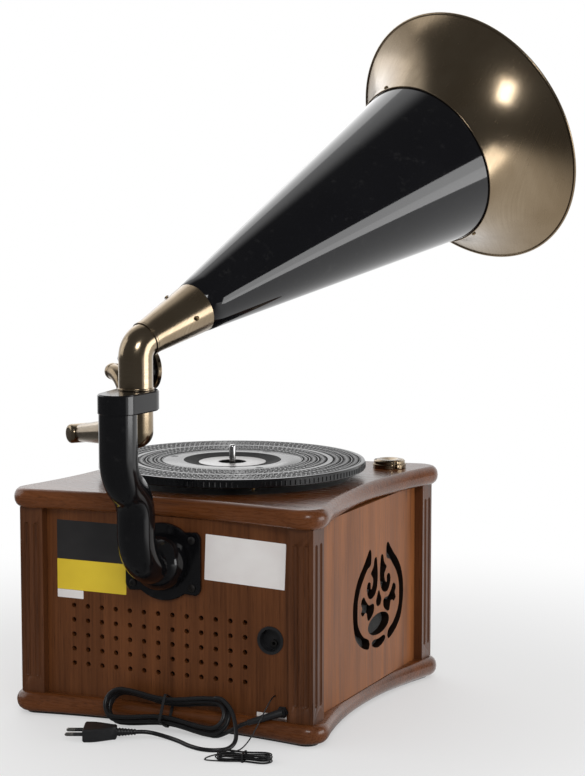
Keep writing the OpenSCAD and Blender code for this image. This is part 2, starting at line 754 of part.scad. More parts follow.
module cd_mechanism() {
  y0 = front_y + panel_t;
  color("#7d8084") {
    difference() {
      translate([-case_w / 2, y0, case_z]) cube([case_w, case_len, case_h]);
      translate([-tray_w / 2 - 2, y0 - 1, tray_z - 0.3]) cube([tray_w + 4, case_len - 2, case_h]);
    }
    translate([-case_w / 2 + 10, y0 + case_len - 30, floor_z]) cube([case_w - 20, 3, case_z - floor_z]);
    translate([-case_w / 2 + 10, y0 + 10, post_z]) cube([case_w - 20, 3, case_z - post_z]);
  }
}

module cd_drawer() {
  y0 = front_y - drawer_t / 2;
  color("#1c1c1e") {
    difference() {
      translate([-tray_w / 2, y0 + drawer_t - 0.1, tray_z]) cube([tray_w, tray_len, tray_t]);
      translate([0, y0 + drawer_t + tray_mid, tray_z + tray_t - disc_deep])
        cylinder(r = disc_d / 2, h = disc_deep + 1, $fn = 96);
      translate([-20, y0 + drawer_t + tray_mid - 20, tray_z - 1]) cube([40, tray_len - tray_mid + 21,
          tray_t]);
    }
    translate([-drawer_w / 2, y0, drawer_z - drawer_h / 2]) cube([drawer_w, drawer_t, drawer_h]);
  }
}

// Radio dial

module dial_plate() {
  y0 = front_y + panel_t;
  color("#d9c48f") {
    upright(0, y0 + 7, dial_z, 2) square([dial_w + 16, dial_h + 14], center = true);
    for (s = [-1, 1]) translate([s * (dial_w / 2 + 6) - 2, y0, dial_z - dial_h / 2 - 7]) cube([4, 7.01,
        dial_h + 14]);
  }
}

module dial_window() {
  color("#cfe0e4") upright(0, front_y + 2, dial_z, 2)
    round_rect(dial_w - 2 * seat_gap, dial_h - 2 * seat_gap, 6);
}

module dial_rail() {
  x1 = dial_w / 2 + 4;
  color("#c0c0c0") translate([-x1, rail_y, rail_z]) rotate([0, 90, 0])
    cylinder(r = rail_r, h = 2 * x1, $fn = 32);
}

module dial_pointer() {
  color("#c0392b") {
    difference() {
      translate([-5, rail_y - 3.4, rail_z - 3.5]) cube([10, 5, 7]);
      translate([-6, rail_y, rail_z]) rotate([0, 90, 0]) cylinder(r = rail_r + run_gap, h = 12, $fn = 32);
    }
    translate([-0.8, rail_y - 3.4, rail_z + 3.4]) cube([1.6, 1.2, dial_h - 2]);
  }
}

module knob(x) {
  r = knob_d / 2;
  translate([x, front_y - 0.5, dial_z]) rotate([90, 0, 0]) {
    rotate_extrude() polygon([[0, 0], [r, 0], [r, 3], [r - 2, 4], [r - 3.5, knob_len - 2], [r - 5.5,
        knob_len], [0, knob_len]]);
    translate([0, 0, -panel_t - 8]) cylinder(r = knob_shaft_r, h = panel_t + 9, $fn = 32);
    translate([-0.6, r - 6, knob_len - 1]) cube([1.2, 5, 1.2]);
  }
}

module tuning_knob() {
  color("#a5803f") knob(knob_x);
}

module volume_knob() {
  color("#a5803f") knob(-knob_x);
}

module knob_controls() {
  y0 = front_y + panel_t;
  color("#666666") for (s = [-1, 1]) translate([s * knob_x, y0, dial_z]) rotate([-90, 0, 0]) difference() {
    cylinder(r = pot_r, h = 14);
    translate([0, 0, -1]) cylinder(r = knob_shaft_r + run_gap, h = 12, $fn = 32);
  }
}

// Push button with its collar behind the panel
module button(i) {
  translate([button_x(i), front_y - button_out, button_z]) rotate([-90, 0, 0])
    rotate_extrude() polygon([[0, 0], [button_r - 1, 0], [button_r, 1], [button_r,
        button_out + panel_t + 0.5],
      [button_r + 2, button_out + panel_t + 0.5], [button_r + 2, button_out + panel_t + 2], [0,
          button_out + panel_t + 2]]);
}

module power_button() {
  color("#b08d4a") button(0);
}

module play_button() {
  color("#b08d4a") button(1);
}

module stop_button() {
  color("#b08d4a") button(2);
}

module skip_button() {
  color("#b08d4a") button(3);
}

// Line socket in the back

module line_socket() {
  r = socket_d / 2;
  color("#17171a") translate([socket_x, back_y, socket_z]) rotate([90, 0, 0]) difference() {
    rotate_extrude() polygon([[0, socket_deep + 1.5], [0, socket_deep], [r, socket_deep], [r, -0.8],
        [r + cup_wall + 1.5, -0.8],
      [r + cup_wall + 1.5, 0], [r + cup_wall, 0], [r + cup_wall, socket_deep + 1.5]]);
    translate([0, -r / 2 + 1, socket_deep - 1]) cylinder(r = 3.9 + seat_gap, h = 4, $fn = 32);
  }
}

module socket_jack() {
  color("#c9ccd0") translate([socket_x, back_y - socket_deep, socket_z - socket_d / 4 + 1])
    rotate([-90, 0, 0]) difference() {
    translate([0, 0, -6]) cylinder(r = 3.9, h = 8, $fn = 32);
    translate([0, 0, -4]) cylinder(r = 1.8, h = 8, $fn = 32);
  }
}

// Bracket that carries horn and tonearm

module ears() {
  for (sx = [-1, 1]) for (sz = [-1, 1]) translate([sx * screw_px / 2, sz * screw_pz / 2]) children();
}

module flange_shape() {
  circle(r = flange_r);
  ears() circle(r = 9.5);
  polygon([[screw_px / 2 + 9.2, -screw_pz / 2], [screw_px / 2 + 9.2, screw_pz / 2],
      [-screw_px / 2 - 9.2, screw_pz / 2],
    [-screw_px / 2 - 9.2, -screw_pz / 2]]);
}

sway_off = high_y - low_y;
sway_h = sway_z1 - sway_z0;
sway_a = 2 * atan(sway_off / sway_h);
sway_r = sway_off / (2 * (1 - cos(sway_a)));
bend_n = 7;
bracket_line = concat([[0, back_y + flange_t + 2, flange_z]],
  [for (i = [0 : bend_n]) let (a = 90 * i / bend_n)
    [0, low_y - elbow_bend * (1 - sin(a)), flange_z + elbow_bend * (1 - cos(a))]],
  [for (i = [0 : bend_n]) let (a = sway_a * i / bend_n)
    [0, low_y + sway_r * (1 - cos(a)), flange_z + sway_z0 + sway_r * sin(a)]],
  [for (i = [bend_n - 1 : -1 : 0]) let (a = sway_a * i / bend_n)
    [0, high_y - sway_r * (1 - cos(a)), flange_z + sway_z1 - sway_r * sin(a)]],
  [[0, high_y, clamp_z + 2]]);
boss_long = 34;

// Outline of the clamp: a ring round the horn tube joined to the bracket tube
function clamp_line() =
  let (d = high_y - pivot_y, r2 = tube_r + 1, a = acos((clamp_r - r2) / d))
  concat(arc([0, high_y], r2, 90 - a, 90 + a, 16), arc([0, pivot_y], clamp_r, 90 + a, 450 - a, 40));

module horn_bracket() {
  color("#101012") translate([bracket_x, 0, 0]) difference() {
    union() {
      translate([0, back_y + flange_t, flange_z]) rotate([90, 0,
          0]) linear_extrude(flange_t) flange_shape();
      translate([0, back_y + flange_t, flange_z]) rotate([-90, 0, 0]) rotate_extrude()
        polygon([for (i = [0 : 12]) [boss_r * cos(90 * i / 12), boss_long * sin(90 * i / 12)], [0, 0]]);
      tube_along(bracket_line, tube_r, 64, [1, 0, 0]);
      translate([0, 0, clamp_z]) linear_extrude(clamp_h) polygon(clamp_line());
    }
    translate([0, pivot_y, clamp_z - 1]) cylinder(r = pipe_r + run_gap, h = web_z0 - clamp_z + 1);
    translate([0, pivot_y, web_z0 - 1]) cylinder(r = stud_r + run_gap, h = 6);
    translate([0, pivot_y, web_z1]) cylinder(r = pipe_r + run_gap, h = clamp_h);
    translate([0, back_y + 1, flange_z]) rotate([-90, 0, 0]) ears() cylinder(r = 2.2, h = flange_t + 1,
        $fn = 32);
  }
}

module screw(r, h, shank, long) {
  stem = long > 0 ? [[0, -long], [shank, -long], [shank, 0]] : [[0, 0]];
  rotate_extrude($fn = 32) polygon(concat(stem, [[r, 0]], arc([0, h - r * 1.35], r * 1.35, 42.2, 90, 4)));
}

module bracket_screws() {
  color("#1a1a1c") translate([bracket_x, back_y + flange_t + 0.1, flange_z]) rotate([-90, 0, 0])
    ears() cylinder(r1 = 4.4, r2 = 3, h = 2.2, $fn = 32);
  color("#1a1a1c") translate([bracket_x, back_y + flange_t + 0.1, flange_z]) rotate([-90, 0, 0])
    ears() translate([0, 0, -3]) cylinder(r = 2, h = 3.1, $fn = 32);
}

// Horn. Its axis rises from the bend; distances along it are measured from the bend
bend_a = 90 - horn_rise;
bend_t = horn_bend * tan(bend_a / 2);
sleeve_r = pipe_r + seat_gap + sheet;
neck_s = bend_t + lap;
throat_k = (throat_r - sleeve_r) / (throat_s - neck_s);
cone_k = (cone_r - throat_r) / (cone_s - throat_s);
mouth_r = cone_r + seat_gap + sheet + 0.1;
bead_r = 1.8;
throat_turn = [30, 150, 270];
throat_screw_in = 22;
bell_turn = [162, 332];
head_gap = 0.3;

module along_horn() {
  translate([bracket_x, pivot_y, bend_z]) rotate([0, 90 - horn_rise, -90 - horn_yaw]) children();
}

// Middle line of the bent horn tube, in the plane of the horn; it runs on by a margin
pipe_top = bend_z - bend_t - 3;
function pipe_line(more) = concat([[0, 0, pipe_top - 4 - more]],
  [for (i = [0 : 8]) let (a = bend_a * i / 8)
    [horn_bend * (1 - cos(a)), 0, bend_z - bend_t + horn_bend * sin(a)]],
  [[(bend_t + lap - 1 + more) * sin(bend_a), 0, bend_z + (bend_t + lap - 1 + more) * cos(bend_a)]]);

module horn_elbow() {
  z0 = web_z1 + 0.3;
  step = 0.03;
  color("#b08d4a") translate([bracket_x, pivot_y, 0]) rotate([0, 0, -90 - horn_yaw]) difference() {
    union() {
      translate([0, 0, z0]) cylinder(r = pipe_r, h = pipe_top - z0);
      tube_along(pipe_line(0), pipe_r - step, 48, [0, 1, 0]);
    }
    translate([0, 0, z0 - 1]) cylinder(r = pipe_r - pipe_wall, h = pipe_top - z0 + 1);
    tube_along(pipe_line(1), pipe_r - pipe_wall - step, 48, [0, 1, 0]);
  }
}

module horn_throat() {
  color("#b08d4a") along_horn() rotate_extrude()
    polygon([[sleeve_r - sheet, bend_t + 1], [sleeve_r, bend_t + 1],
    [sleeve_r, neck_s], [throat_r, throat_s], [throat_r - sheet, throat_s], [sleeve_r - sheet, neck_s]]);
}

module horn_cone() {
  r0 = throat_r - sheet - seat_gap;
  color("#0c0c0e") along_horn() rotate_extrude() polygon([[r0 - throat_k * lap - sheet, throat_s - lap],
    [r0 - throat_k * lap, throat_s - lap], [r0, throat_s], [throat_r, throat_s],
    [cone_r + cone_k * lap, cone_s + lap], [cone_r + cone_k * lap - sheet, cone_s + lap], [r0 - sheet,
        throat_s]]);
}

// Bell: a curve that starts on the line of the cone and rolls outwards
bell_c = [[mouth_r, cone_s], [mouth_r + 11, cone_s + 0.6 * (bell_s - cone_s)], [bell_r - bead_r,
    bell_s - bead_r]];
function bell_p(t) = (1 - t) * (1 - t) * bell_c[0] + 2 * t * (1 - t) * bell_c[1] + t * t * bell_c[2];
function bell_d(t) = unit((1 - t) * (bell_c[1] - bell_c[0]) + t * (bell_c[2] - bell_c[1]));
function bell_in(t) = bell_p(t) + sheet * [-bell_d(t)[1], bell_d(t)[0]];

module horn_bell() {
  n = 16;
  d = bell_d(1);
  a = atan2(d[1], d[0]);
  color("#b08d4a") along_horn() rotate_extrude($fn = 128) polygon(concat(
    [for (i = [0 : n - 1]) bell_p(i / n)],
    arc((bell_p(1) + bell_in(1)) / 2, bead_r, a - 90, a + 90, 6),
    [for (i = [n - 1 : -1 : 0]) bell_in(i / n)]));
}

// Screw head standing square on the sheet at a radius r and a distance z along the horn
module head_on(r, z, tilt) {
  translate([r, 0, z]) rotate([0, 90 + tilt, 0]) translate([0, 0, head_gap]) screw(2.6, 1.7, 1.2, 0);
}

module horn_screws() {
  throat_z = throat_s - throat_screw_in;
  neck = bell_p(0.06);
  flare = bell_d(0.06);
  color("#8a6a35") along_horn() {
    for (a = throat_turn) rotate([0, 0, a])
      head_on(sleeve_r + throat_k * (throat_z - neck_s), throat_z, atan(throat_k));
    for (a = bell_turn) rotate([0, 0, a]) head_on(neck[0], neck[1], atan(flare[0] / flare[1]));
  }
}

// Tonearm, drawn with its pivot at the origin of x and y and pointing to -Y
module at_arm() {
  translate([bracket_x, pivot_y, 0]) rotate([0, 0, arm_park]) children();
}

stud_top = web_z1 + 5;

module tonearm_stud() {
  color("#c9ccd0") at_arm() {
    translate([0, 0, web_z0 - 8]) cylinder(r = stud_r, h = stud_top - web_z0 + 8);
    translate([0, 0, web_z1 + 0.3]) ring(8, stud_r + 0.01, 0, 4);
  }
}

// Upright tube with a round bottom, shrunk by a margin
module arm_tube(margin, top) {
  r = pipe_r - margin;
  rotate_extrude() polygon(concat(arc([0, elbow_z], r, -90, 0, 8), [[r, top], [0, top]]));
}

module arm_cone(margin) {
  translate([0, 0, elbow_z]) rotate([90 + arm_slope, 0, 0])
    cylinder(r1 = arm_root_r - margin, r2 = arm_tip_r - margin, h = arm_len);
}

module tonearm() {
  wall = 1.4;
  color("#b08d4a") at_arm() difference() {
    union() {
      arm_tube(0, web_z0 - 0.3);
      arm_cone(0);
      translate([-barrel_r - 1, -arm_reach, tip_z]) rotate([0, 90, 0]) rotate_extrude()
        polygon(concat([[0, 0], [barrel_r, 0]], arc([barrel_r - 4, barrel_r * 2 - 1], 4, 0, 90, 4),
          [[0, barrel_r * 2 + 3]]));
    }
    difference() {
      union() {
        arm_tube(wall, web_z0 - 8);
        arm_cone(wall);
      }
      translate([-50, -arm_reach - 40, tip_z - 40]) cube([100, 52, 80]);
    }
    translate([0, 0, web_z0 - 9]) cylinder(r = stud_r + 0.01, h = 12);
    translate([-barrel_r - 2, -arm_reach, tip_z]) rotate([0, 90, 0]) cylinder(r = journal_r + run_gap,
        h = barrel_r + 8);
  }
}

// Head of the tonearm, drawn from the middle of its hinge: x across, y back, z up
module at_head() {
  at_arm() translate([0, -arm_reach, tip_z]) children();
}

neck_bend = box_up / 2;
stylus_a = atan(box_up / box_back) - 32.4;

module gooseneck() {
  color("#b08d4a") at_head() {
    translate([-barrel_x0, 0, 0]) rotate([0, 90, 0]) cylinder(r = journal_r, h = barrel_x0 + 4);
    translate([-barrel_x1, 0, 0]) rotate([0, 90, 0]) rotate_extrude()
      polygon(concat([[0, 0]], arc([barrel_r - 4, 4], 4, 270, 360, 4), [[barrel_r,
          barrel_x1 - barrel_x0], [0, barrel_x1 - barrel_x0]]));
    translate([-neck_off, 0, 0]) rotate([-90, 0, 0]) cylinder(r = neck_r, h = box_back);
    translate([-neck_off, box_back, neck_bend]) rotate([90, 0, 90]) rotate([0, 0, -90])
      rotate_extrude(angle = 180) translate([neck_bend, 0]) circle(r = neck_r);
    translate([-neck_off, box_back, box_up]) sphere(r = neck_r + 0.6);
    translate([-neck_off, box_back, box_up]) rotate([0, -90, 0]) rotate_extrude()
      polygon([[0, 0], [neck_r - 0.3, 0], [neck_r, neck_r + 1.5], [drum_r * 0.62, box_x0 - neck_off - 4],
        [drum_r - 1, box_x0 - neck_off], [0, box_x0 - neck_off]]);
  }
}

module at_box() {
  at_head() translate([-box_x0, box_back, box_up]) rotate([0, -90, 0]) children();
}

module sound_box() {
  color("#141416") at_box() rotate_extrude()
    polygon([[0, 0], [drum_r - 0.8, 0], [drum_r, 0.8], [drum_r, drum_len * 0.35],
    [drum_r - 0.7, drum_len * 0.4], [drum_r, drum_len * 0.45], [drum_r, drum_len], [0, drum_len]]);
}

module box_rim() {
  color("#b08d4a") at_box() translate([0, 0, drum_len]) rotate_extrude()
    polygon([[0, 0], [box_rim_r - 1, 0], [box_rim_r, 1],
    [box_rim_r, rim_t - 1], [box_rim_r - 1, rim_t], [box_rim_r - 3.5, rim_t], [box_rim_r - 4.5,
        rim_t - 1.6], [9, rim_t - 1.6],
    [7, rim_t - 0.4], [0, rim_t - 0.4]]);
}

cart_w = 14;
cart_t = 17;

module at_stylus() {
  at_head() translate([-box_x0 - 5.5, box_back, box_up]) rotate([90 - stylus_a, 0, 0]) children();
}

module cartridge() {
  color("#141416") at_stylus() difference() {
    translate([0, 0, drum_r - 3]) rotate([0, 90, 0]) translate([0, 0, -cart_w / 2]) linear_extrude(cart_w)
      polygon([[0, -cart_t / 2], [-9, -cart_t / 2], [-15, -cart_t / 2 + 4], [-15, cart_t / 2 - 5], [-9,
          cart_t / 2], [0, cart_t / 2]]);
    rotate([0, 90, 0]) translate([0, 0, -cart_w]) cylinder(r = drum_r + 0.05, h = 2 * cart_w);
  }
}

module stylus() {
  color("#c8281e") at_stylus() {
    translate([-3, -4, drum_r + 12.05]) cube([6, 8, 2.5]);
    translate([0, 0, drum_r + 14.5]) cylinder(r1 = 2.4, r2 = 0.5, h = stylus_reach - drum_r - 14.5,
        $fn = 32);
  }
}

// Straight round piece from one point to another
module rod(a, b, r1, r2) {
  d = b - a;
  translate(a) rotate([0, acos(d[2] / norm(d)), atan2(d[1], d[0])]) cylinder(r1 = r1, r2 = r2,
      h = norm(d), $fn = 32);
}

// Mains cord: out of the back, into the hank, and out again to the plug
relief_tip = gland_at + [32, 18.6, -10.6];
plug_at = [28, 222, 7];
plug_turn = 24.3;
relief_long = 20;
plug_size = [35, 35.3, 13.7];
pin_d = 4;
pin_long = 19;
pin_gap = 18;

// Hank that leans on the plinth: middle, lean, run, half width, step, layer height, waist
mains_mid = [-8, 178.5, 23.3];
mains_lean = 60.8;
mains_run = 110;
mains_wide = 18.5;
mains_step = 5;
mains_rise = 5.1;
mains_waist = 6;
mains_end = 3.75;

// Hank of the antenna wire, flat on the floor
wire_mid = [-130, 241.5, 1.3];
wire_turn = 191;
wire_run = 40;
wire_wide = 10;
wire_step = 2.1;
wire_rise = 2.1;
wire_waist = 3;
wire_end = 7.75;

// Point of a hank after u loops: loops spiral in and out, one layer on the other,
// and climb along the first run of each layer
function hank_point(u, m, run, wide, step, rise, waist, start) =
  let (k = floor(u), t = u - k, layer = floor(u / m), v = u / m - layer,
    a = wide - step * m * (layer % 2 == 0 ? v : 1 - v),
    s = (u / m - layer) * m < 0.25 ? 4 * t : 1,
    x = t < 0.25 ? run * (4 * t - 0.5) : t < 0.5 ? run / 2 + a * cos(720 * t - 270)
      : t < 0.75 ? run * (2.5 - 4 * t) : -run / 2 + a * cos(720 * t - 450),
    y = t < 0.25 ? -a : t < 0.5 ? a * sin(720 * t - 270) : t < 0.75 ? a : a * sin(720 * t - 450),
    b = abs(x) < run / 2 ? waist * pow(cos(180 * x / run), 2) : 0)
  [x, y > 0 ? y - b : y + b, rise * (layer == 0 ? -start * (1 - s) : layer - 1 + s)];
function hank_line(m, n, run, wide, step, rise, waist, start) =
  [for (i = [0 : round(24 * n)]) hank_point(min(i / 24, n - 0.0001), m, run, wide, step, rise, waist,
      start)];

// Least distance from points of a line to other stretches of it, less one thickness
function off_line(q, a, b) = let (d = b - a, t = max(0, min(1, (q - a) * d / (d * d)))) norm(q - a - t * d);
function self_gap(p, r, skip) =
  min([for (i = [0 : len(p) - 1]) for (j = [i + skip : 1 : len(p) - 2]) off_line(p[i], p[j],
      p[j + 1])]) - 2 * r;

mains_loops = hank_line(1, mains_end, mains_run, mains_wide, mains_step, mains_rise, mains_waist, 0.4);
wire_loops = hank_line(2, wire_end, wire_run, wire_wide, wire_step, wire_rise, wire_waist, 0);
echo(mains_hank_gap = self_gap(mains_loops, mains_r, 8));
echo(antenna_hank_gap = self_gap(wire_loops, wire_r, 8));

function lean(p, a) = [p[0], -p[1] * cos(a) + p[2] * sin(a), p[1] * sin(a) + p[2] * cos(a)];
function turn(p, a) = [p[0] * cos(a) - p[1] * sin(a), p[0] * sin(a) + p[1] * cos(a), p[2]];
mains_hank_path = [for (p = mains_loops) mains_mid + lean([p[0], p[1], p[2] - 1.5 * mains_rise],
    mains_lean)];
wire_hank_path = [for (p = wire_loops) wire_mid + turn(p, wire_turn)];
hank_in = mains_hank_path[0];
hank_out = mains_hank_path[len(mains_hank_path) - 1];
wire_in = wire_hank_path[0];
// Point just before the start of a line, straight behind it, and just past its end
function before(p) = p[0] - 1.5 * unit(p[1] - p[0]);
function past(p) = p[len(p) - 1] + 1.5 * unit(p[len(p) - 1] - p[len(p) - 2]);
plug_in = plug_at - relief_long * [cos(plug_turn), sin(plug_turn), 0];

mains_route_a = [[-103.8, 178.68, 20.94], [-100.5, 180.07, 19.83], [-95, 182, 17], [-87, 183, 12],
  [-77, 182, 6.5], [-70, 180, 3.4], [-66, 179.2, 2.6]];
mains_route_b = [[-68, 178, 43.4], [-76, 179, 42], [-88, 184, 33], [-97, 193, 19], [-102, 204, 8],
  [-100, 216, 3], [-91, 226, 2.4], [-76, 229, 2.4], [-58, 223, 2.4], [-40, 212, 2.4], [-24, 206, 3.2],
  [-8, 206, 5.5], [1, 209.8, 7]];
wire_route = [[-126.8, 160, 47.8], [-126.8, 165, 47.6], [-126, 171, 44], [-123, 179, 34], [-119, 189, 20],
  [-115, 200, 8], [-111, 211, 1.8], [-105, 222, 1], [-97.5, 232, 1], [-92.5, 243, 1], [-91.5, 252, 1],
  [-95, 257.5, 1.1]];

module cord_gland() {
  color("#141416") {
    translate(gland_at) rotate([-90, 0, 0]) cylinder(r = 6.5, h = 2, $fn = 6);
    translate(gland_at - [0, panel_t + 3, 0]) rotate([-90, 0, 0]) cylinder(r = gland_hole_r - 0.3,
        h = panel_t + 3 + 6, $fn = 32);
    translate(gland_at - [0, panel_t + 3, 0]) rotate([-90, 0, 0]) cylinder(r = 7, h = 2.8, $fn = 6);
    rod(gland_at + [-1.5, 4.5, 0.6], relief_tip, 4.4, mains_r + 0.8);
  }
}

module mains_cord() {
  color("#141416") {
    tube_along(smooth_route(concat(mains_route_a, [before(mains_hank_path), hank_in]), 2), mains_r, 8);
    tube_along(smooth_route(concat([hank_out, past(mains_hank_path)], mains_route_b, [plug_in]), 2),
        mains_r, 8);
  }
}

module mains_hank() {
  color("#141416") tube_along(mains_hank_path, mains_r, 6);
}

module mains_plug() {
  w = plug_size[1] / 2;
  color("#141416") translate(plug_at) rotate([0, 0, plug_turn]) {
    translate([0, 0, -plug_size[2] / 2]) linear_extrude(plug_size[2])
      polygon([[0, -6], [0, 6], [6, 9], [14, 13], [22, w - 1], [28, w], [plug_size[0], w],
          [plug_size[0], -w], [28, -w],
        [22, 1 - w], [14, -13], [6, -9]]);
    translate([-relief_long, 0, 0]) rotate([0, 90, 0]) cylinder(r1 = mains_r + 0.8, r2 = 4.6,
        h = relief_long + 2, $fn = 32);
    for (s = [-1, 1]) translate([plug_size[0] - 1, s * pin_gap / 2, 0]) rotate([0, 90, 0])
      rotate_extrude($fn = 32) polygon([[0, 0], [pin_d / 2, 0], [pin_d / 2, pin_long - 1],
          [pin_d / 2 - 1, pin_long + 1], [0, pin_long + 1]]);
  }
}

module antenna_wire() {
  color("#141416")
    tube_along(smooth_route(concat(wire_route, [before(wire_hank_path), wire_in]), 3), wire_r, 8);
}

module antenna_hank() {
  color("#141416") tube_along(wire_hank_path, wire_r, 6);
}

// Flat band of thickness t round the waist of a hank
module band(half_l, n0, n1, wide, t, r) {
  rotate([90, 0, 90]) translate([0, (n0 + n1) / 2, -wide / 2]) linear_extrude(wide) difference() {
    round_rect(2 * (half_l + t), n1 - n0 + 2 * t, r + t);
    round_rect(2 * half_l, n1 - n0, r);
  }
}

module cord_ties() {
  color("#1a1a1c") {
    translate(mains_mid) rotate([mains_lean, 0, 180])
      band(mains_wide - mains_waist + mains_r + 0.3, -1.7 * mains_rise - mains_r - 0.3,
        1.5 * mains_rise + mains_r + 0.3, 3, 1, 2);
    translate(wire_mid) rotate([0, 0, wire_turn])
      band(wire_wide - wire_waist + wire_r + 0.4, -wire_r - 0.1, 3 * wire_rise + wire_r + 0.3, 2, 0.5, 0.9);
  }
}

felt_strip();
plinth();
bottom_board();
corner_posts();
back_panel();
front_panel();
left_panel();
right_panel();
speaker_cloths();
loudspeakers();
top_board();
motor_plate();
platter_bearing();
drive_motor();
motor_pulley();
drive_belt();
platter();
platter_mat();
hub_disc();
spindle();
adapter_45();
transformer();
main_board();
cd_mechanism();
cd_drawer();
dial_plate();
dial_window();
dial_rail();
dial_pointer();
tuning_knob();
volume_knob();
knob_controls();
power_button();
play_button();
stop_button();
skip_button();
line_socket();
socket_jack();
horn_bracket();
bracket_screws();
horn_elbow();
horn_throat();
horn_cone();
horn_bell();
horn_screws();
tonearm();
tonearm_stud();
gooseneck();
sound_box();
box_rim();
cartridge();
stylus();
cord_gland();
mains_cord();
mains_hank();
mains_plug();
antenna_wire();
antenna_hank();
cord_ties();
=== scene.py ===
import bpy, bmesh, json, math
from mathutils import Matrix, Vector


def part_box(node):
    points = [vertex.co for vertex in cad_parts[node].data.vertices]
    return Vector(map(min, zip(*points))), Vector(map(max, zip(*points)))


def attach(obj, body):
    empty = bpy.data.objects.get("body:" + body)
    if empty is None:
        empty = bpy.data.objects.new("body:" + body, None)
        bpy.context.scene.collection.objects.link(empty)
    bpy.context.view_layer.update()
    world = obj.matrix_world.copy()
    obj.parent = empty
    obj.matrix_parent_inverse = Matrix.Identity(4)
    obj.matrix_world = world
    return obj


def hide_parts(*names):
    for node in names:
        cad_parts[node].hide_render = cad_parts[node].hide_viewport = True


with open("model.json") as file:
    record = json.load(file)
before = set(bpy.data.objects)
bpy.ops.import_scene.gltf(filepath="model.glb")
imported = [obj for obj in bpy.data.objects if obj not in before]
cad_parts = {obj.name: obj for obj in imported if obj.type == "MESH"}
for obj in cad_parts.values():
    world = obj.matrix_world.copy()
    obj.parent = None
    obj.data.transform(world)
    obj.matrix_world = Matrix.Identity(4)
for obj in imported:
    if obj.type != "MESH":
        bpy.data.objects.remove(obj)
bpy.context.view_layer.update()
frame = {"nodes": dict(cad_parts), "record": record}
record = frame["record"]
bodyOf = {node: body for body, held in record["behaviour"]["bodies"].items() for node in held}
scene = bpy.context.scene
scene.view_settings.view_transform = "Standard"
print("frame loaded")

# lengths below are in millimetres, and mm turns them into metres
mm = 0.001


def rad(degrees):
    return math.radians(degrees)


def cosine(a):
    return math.cos(rad(a))


def sine(a):
    return math.sin(rad(a))


def added(name, data):
    item = bpy.data.objects.new(name, data)
    scene.collection.objects.link(item)
    return item


def meshOf(name, points, faces=()):      # points in mm
    mesh = bpy.data.meshes.new(name)
    mesh.from_pydata([tuple(c * mm for c in p) for p in points], [], faces)
    return mesh


def pick(settings, names):         # several values of a settings dictionary at once
    return [settings[name] for name in names.split()]


def slopeOf(rise, run):
    return math.degrees(math.atan(rise / run))


def turnX(a):
    return Matrix.Rotation(rad(a), 4, "X")


def turnY(a):
    return Matrix.Rotation(rad(a), 4, "Y")


def turnZ(a):
    return Matrix.Rotation(rad(a), 4, "Z")


def move(x, y, z):
    return Matrix.Translation((x, y, z))


# camera, fitted to the photographed view
camera = {"at": (-1077.7, 2206.3, 639.0), "right": (-0.9103, -0.4140, 0.0), "up": (0.0485, -0.1067, 0.9931),
          "lens": 102.28, "sensor": 36, "near": 0.1, "far": 60}
lensData = bpy.data.cameras.new("photoView")
lensData.lens, lensData.sensor_fit, lensData.sensor_height = camera["lens"], "VERTICAL", camera["sensor"]
lensData.clip_start, lensData.clip_end = camera["near"], camera["far"]
photoView = added("photoView", lensData)
sideways = Vector(camera["right"]).normalized()
backward = sideways.cross(Vector(camera["up"]).normalized()).normalized()
upward = backward.cross(sideways).normalized()
axes = Matrix((sideways, upward, backward)).transposed().to_4x4()
photoView.matrix_world = Matrix.Translation(Vector(camera["at"]) * mm) @ axes
scene.camera = photoView


# node building: maths on sockets written as plain expressions
class Socket:
    def __init__(self, nodes, link):
        self.nodes, self.link = nodes, link

    def __add__(self, other):
        return self.nodes.maths("ADD", self, other)

    def __sub__(self, other):
        return self.nodes.maths("SUBTRACT", self, other)

    def __rsub__(self, other):
        return self.nodes.maths("SUBTRACT", other, self)

    def __mul__(self, other):
        return self.nodes.maths("MULTIPLY", self, other)

    def __truediv__(self, other):
        return self.nodes.maths("DIVIDE", self, other)

    __radd__, __rmul__ = __add__, __mul__

    def output(self, name):            # another output of the same node
        return Socket(self.nodes, self.link.node.outputs[name])


class Nodes:
    def __init__(self, tree):
        self.tree = tree

    def add(self, kind, settings=None, values=(), out=0):
        node = self.tree.nodes.new(kind)
        for key, value in (settings or {}).items():
            if key == "stops":
                ramp = node.color_ramp.elements
                while len(ramp) < len(value):
                    ramp.new(0.5)
                for stop, (place, colour) in zip(ramp, value):
                    stop.position, stop.color = place, (*colour, 1)
            else:
                setattr(node, key, value)
        for key, value in values.items() if isinstance(values, dict) else enumerate(values):
            if isinstance(value, Socket):
                self.tree.links.new(value.link, node.inputs[key])
            else:
                node.inputs[key].default_value = value
        return Socket(self, node.outputs[out])

    def maths(self, operation, *values):
        return self.add("ShaderNodeMath", {"operation": operation}, values)

    def softStep(self, value, low, high, start, end):
        return self.add("ShaderNodeMapRange", {"interpolation_type": "SMOOTHSTEP"}, (value, low, high, start, end))

    def dot(self, a, b):
        return self.add("ShaderNodeVectorMath", {"operation": "DOT_PRODUCT"}, (a, b), 1)


finish = {}


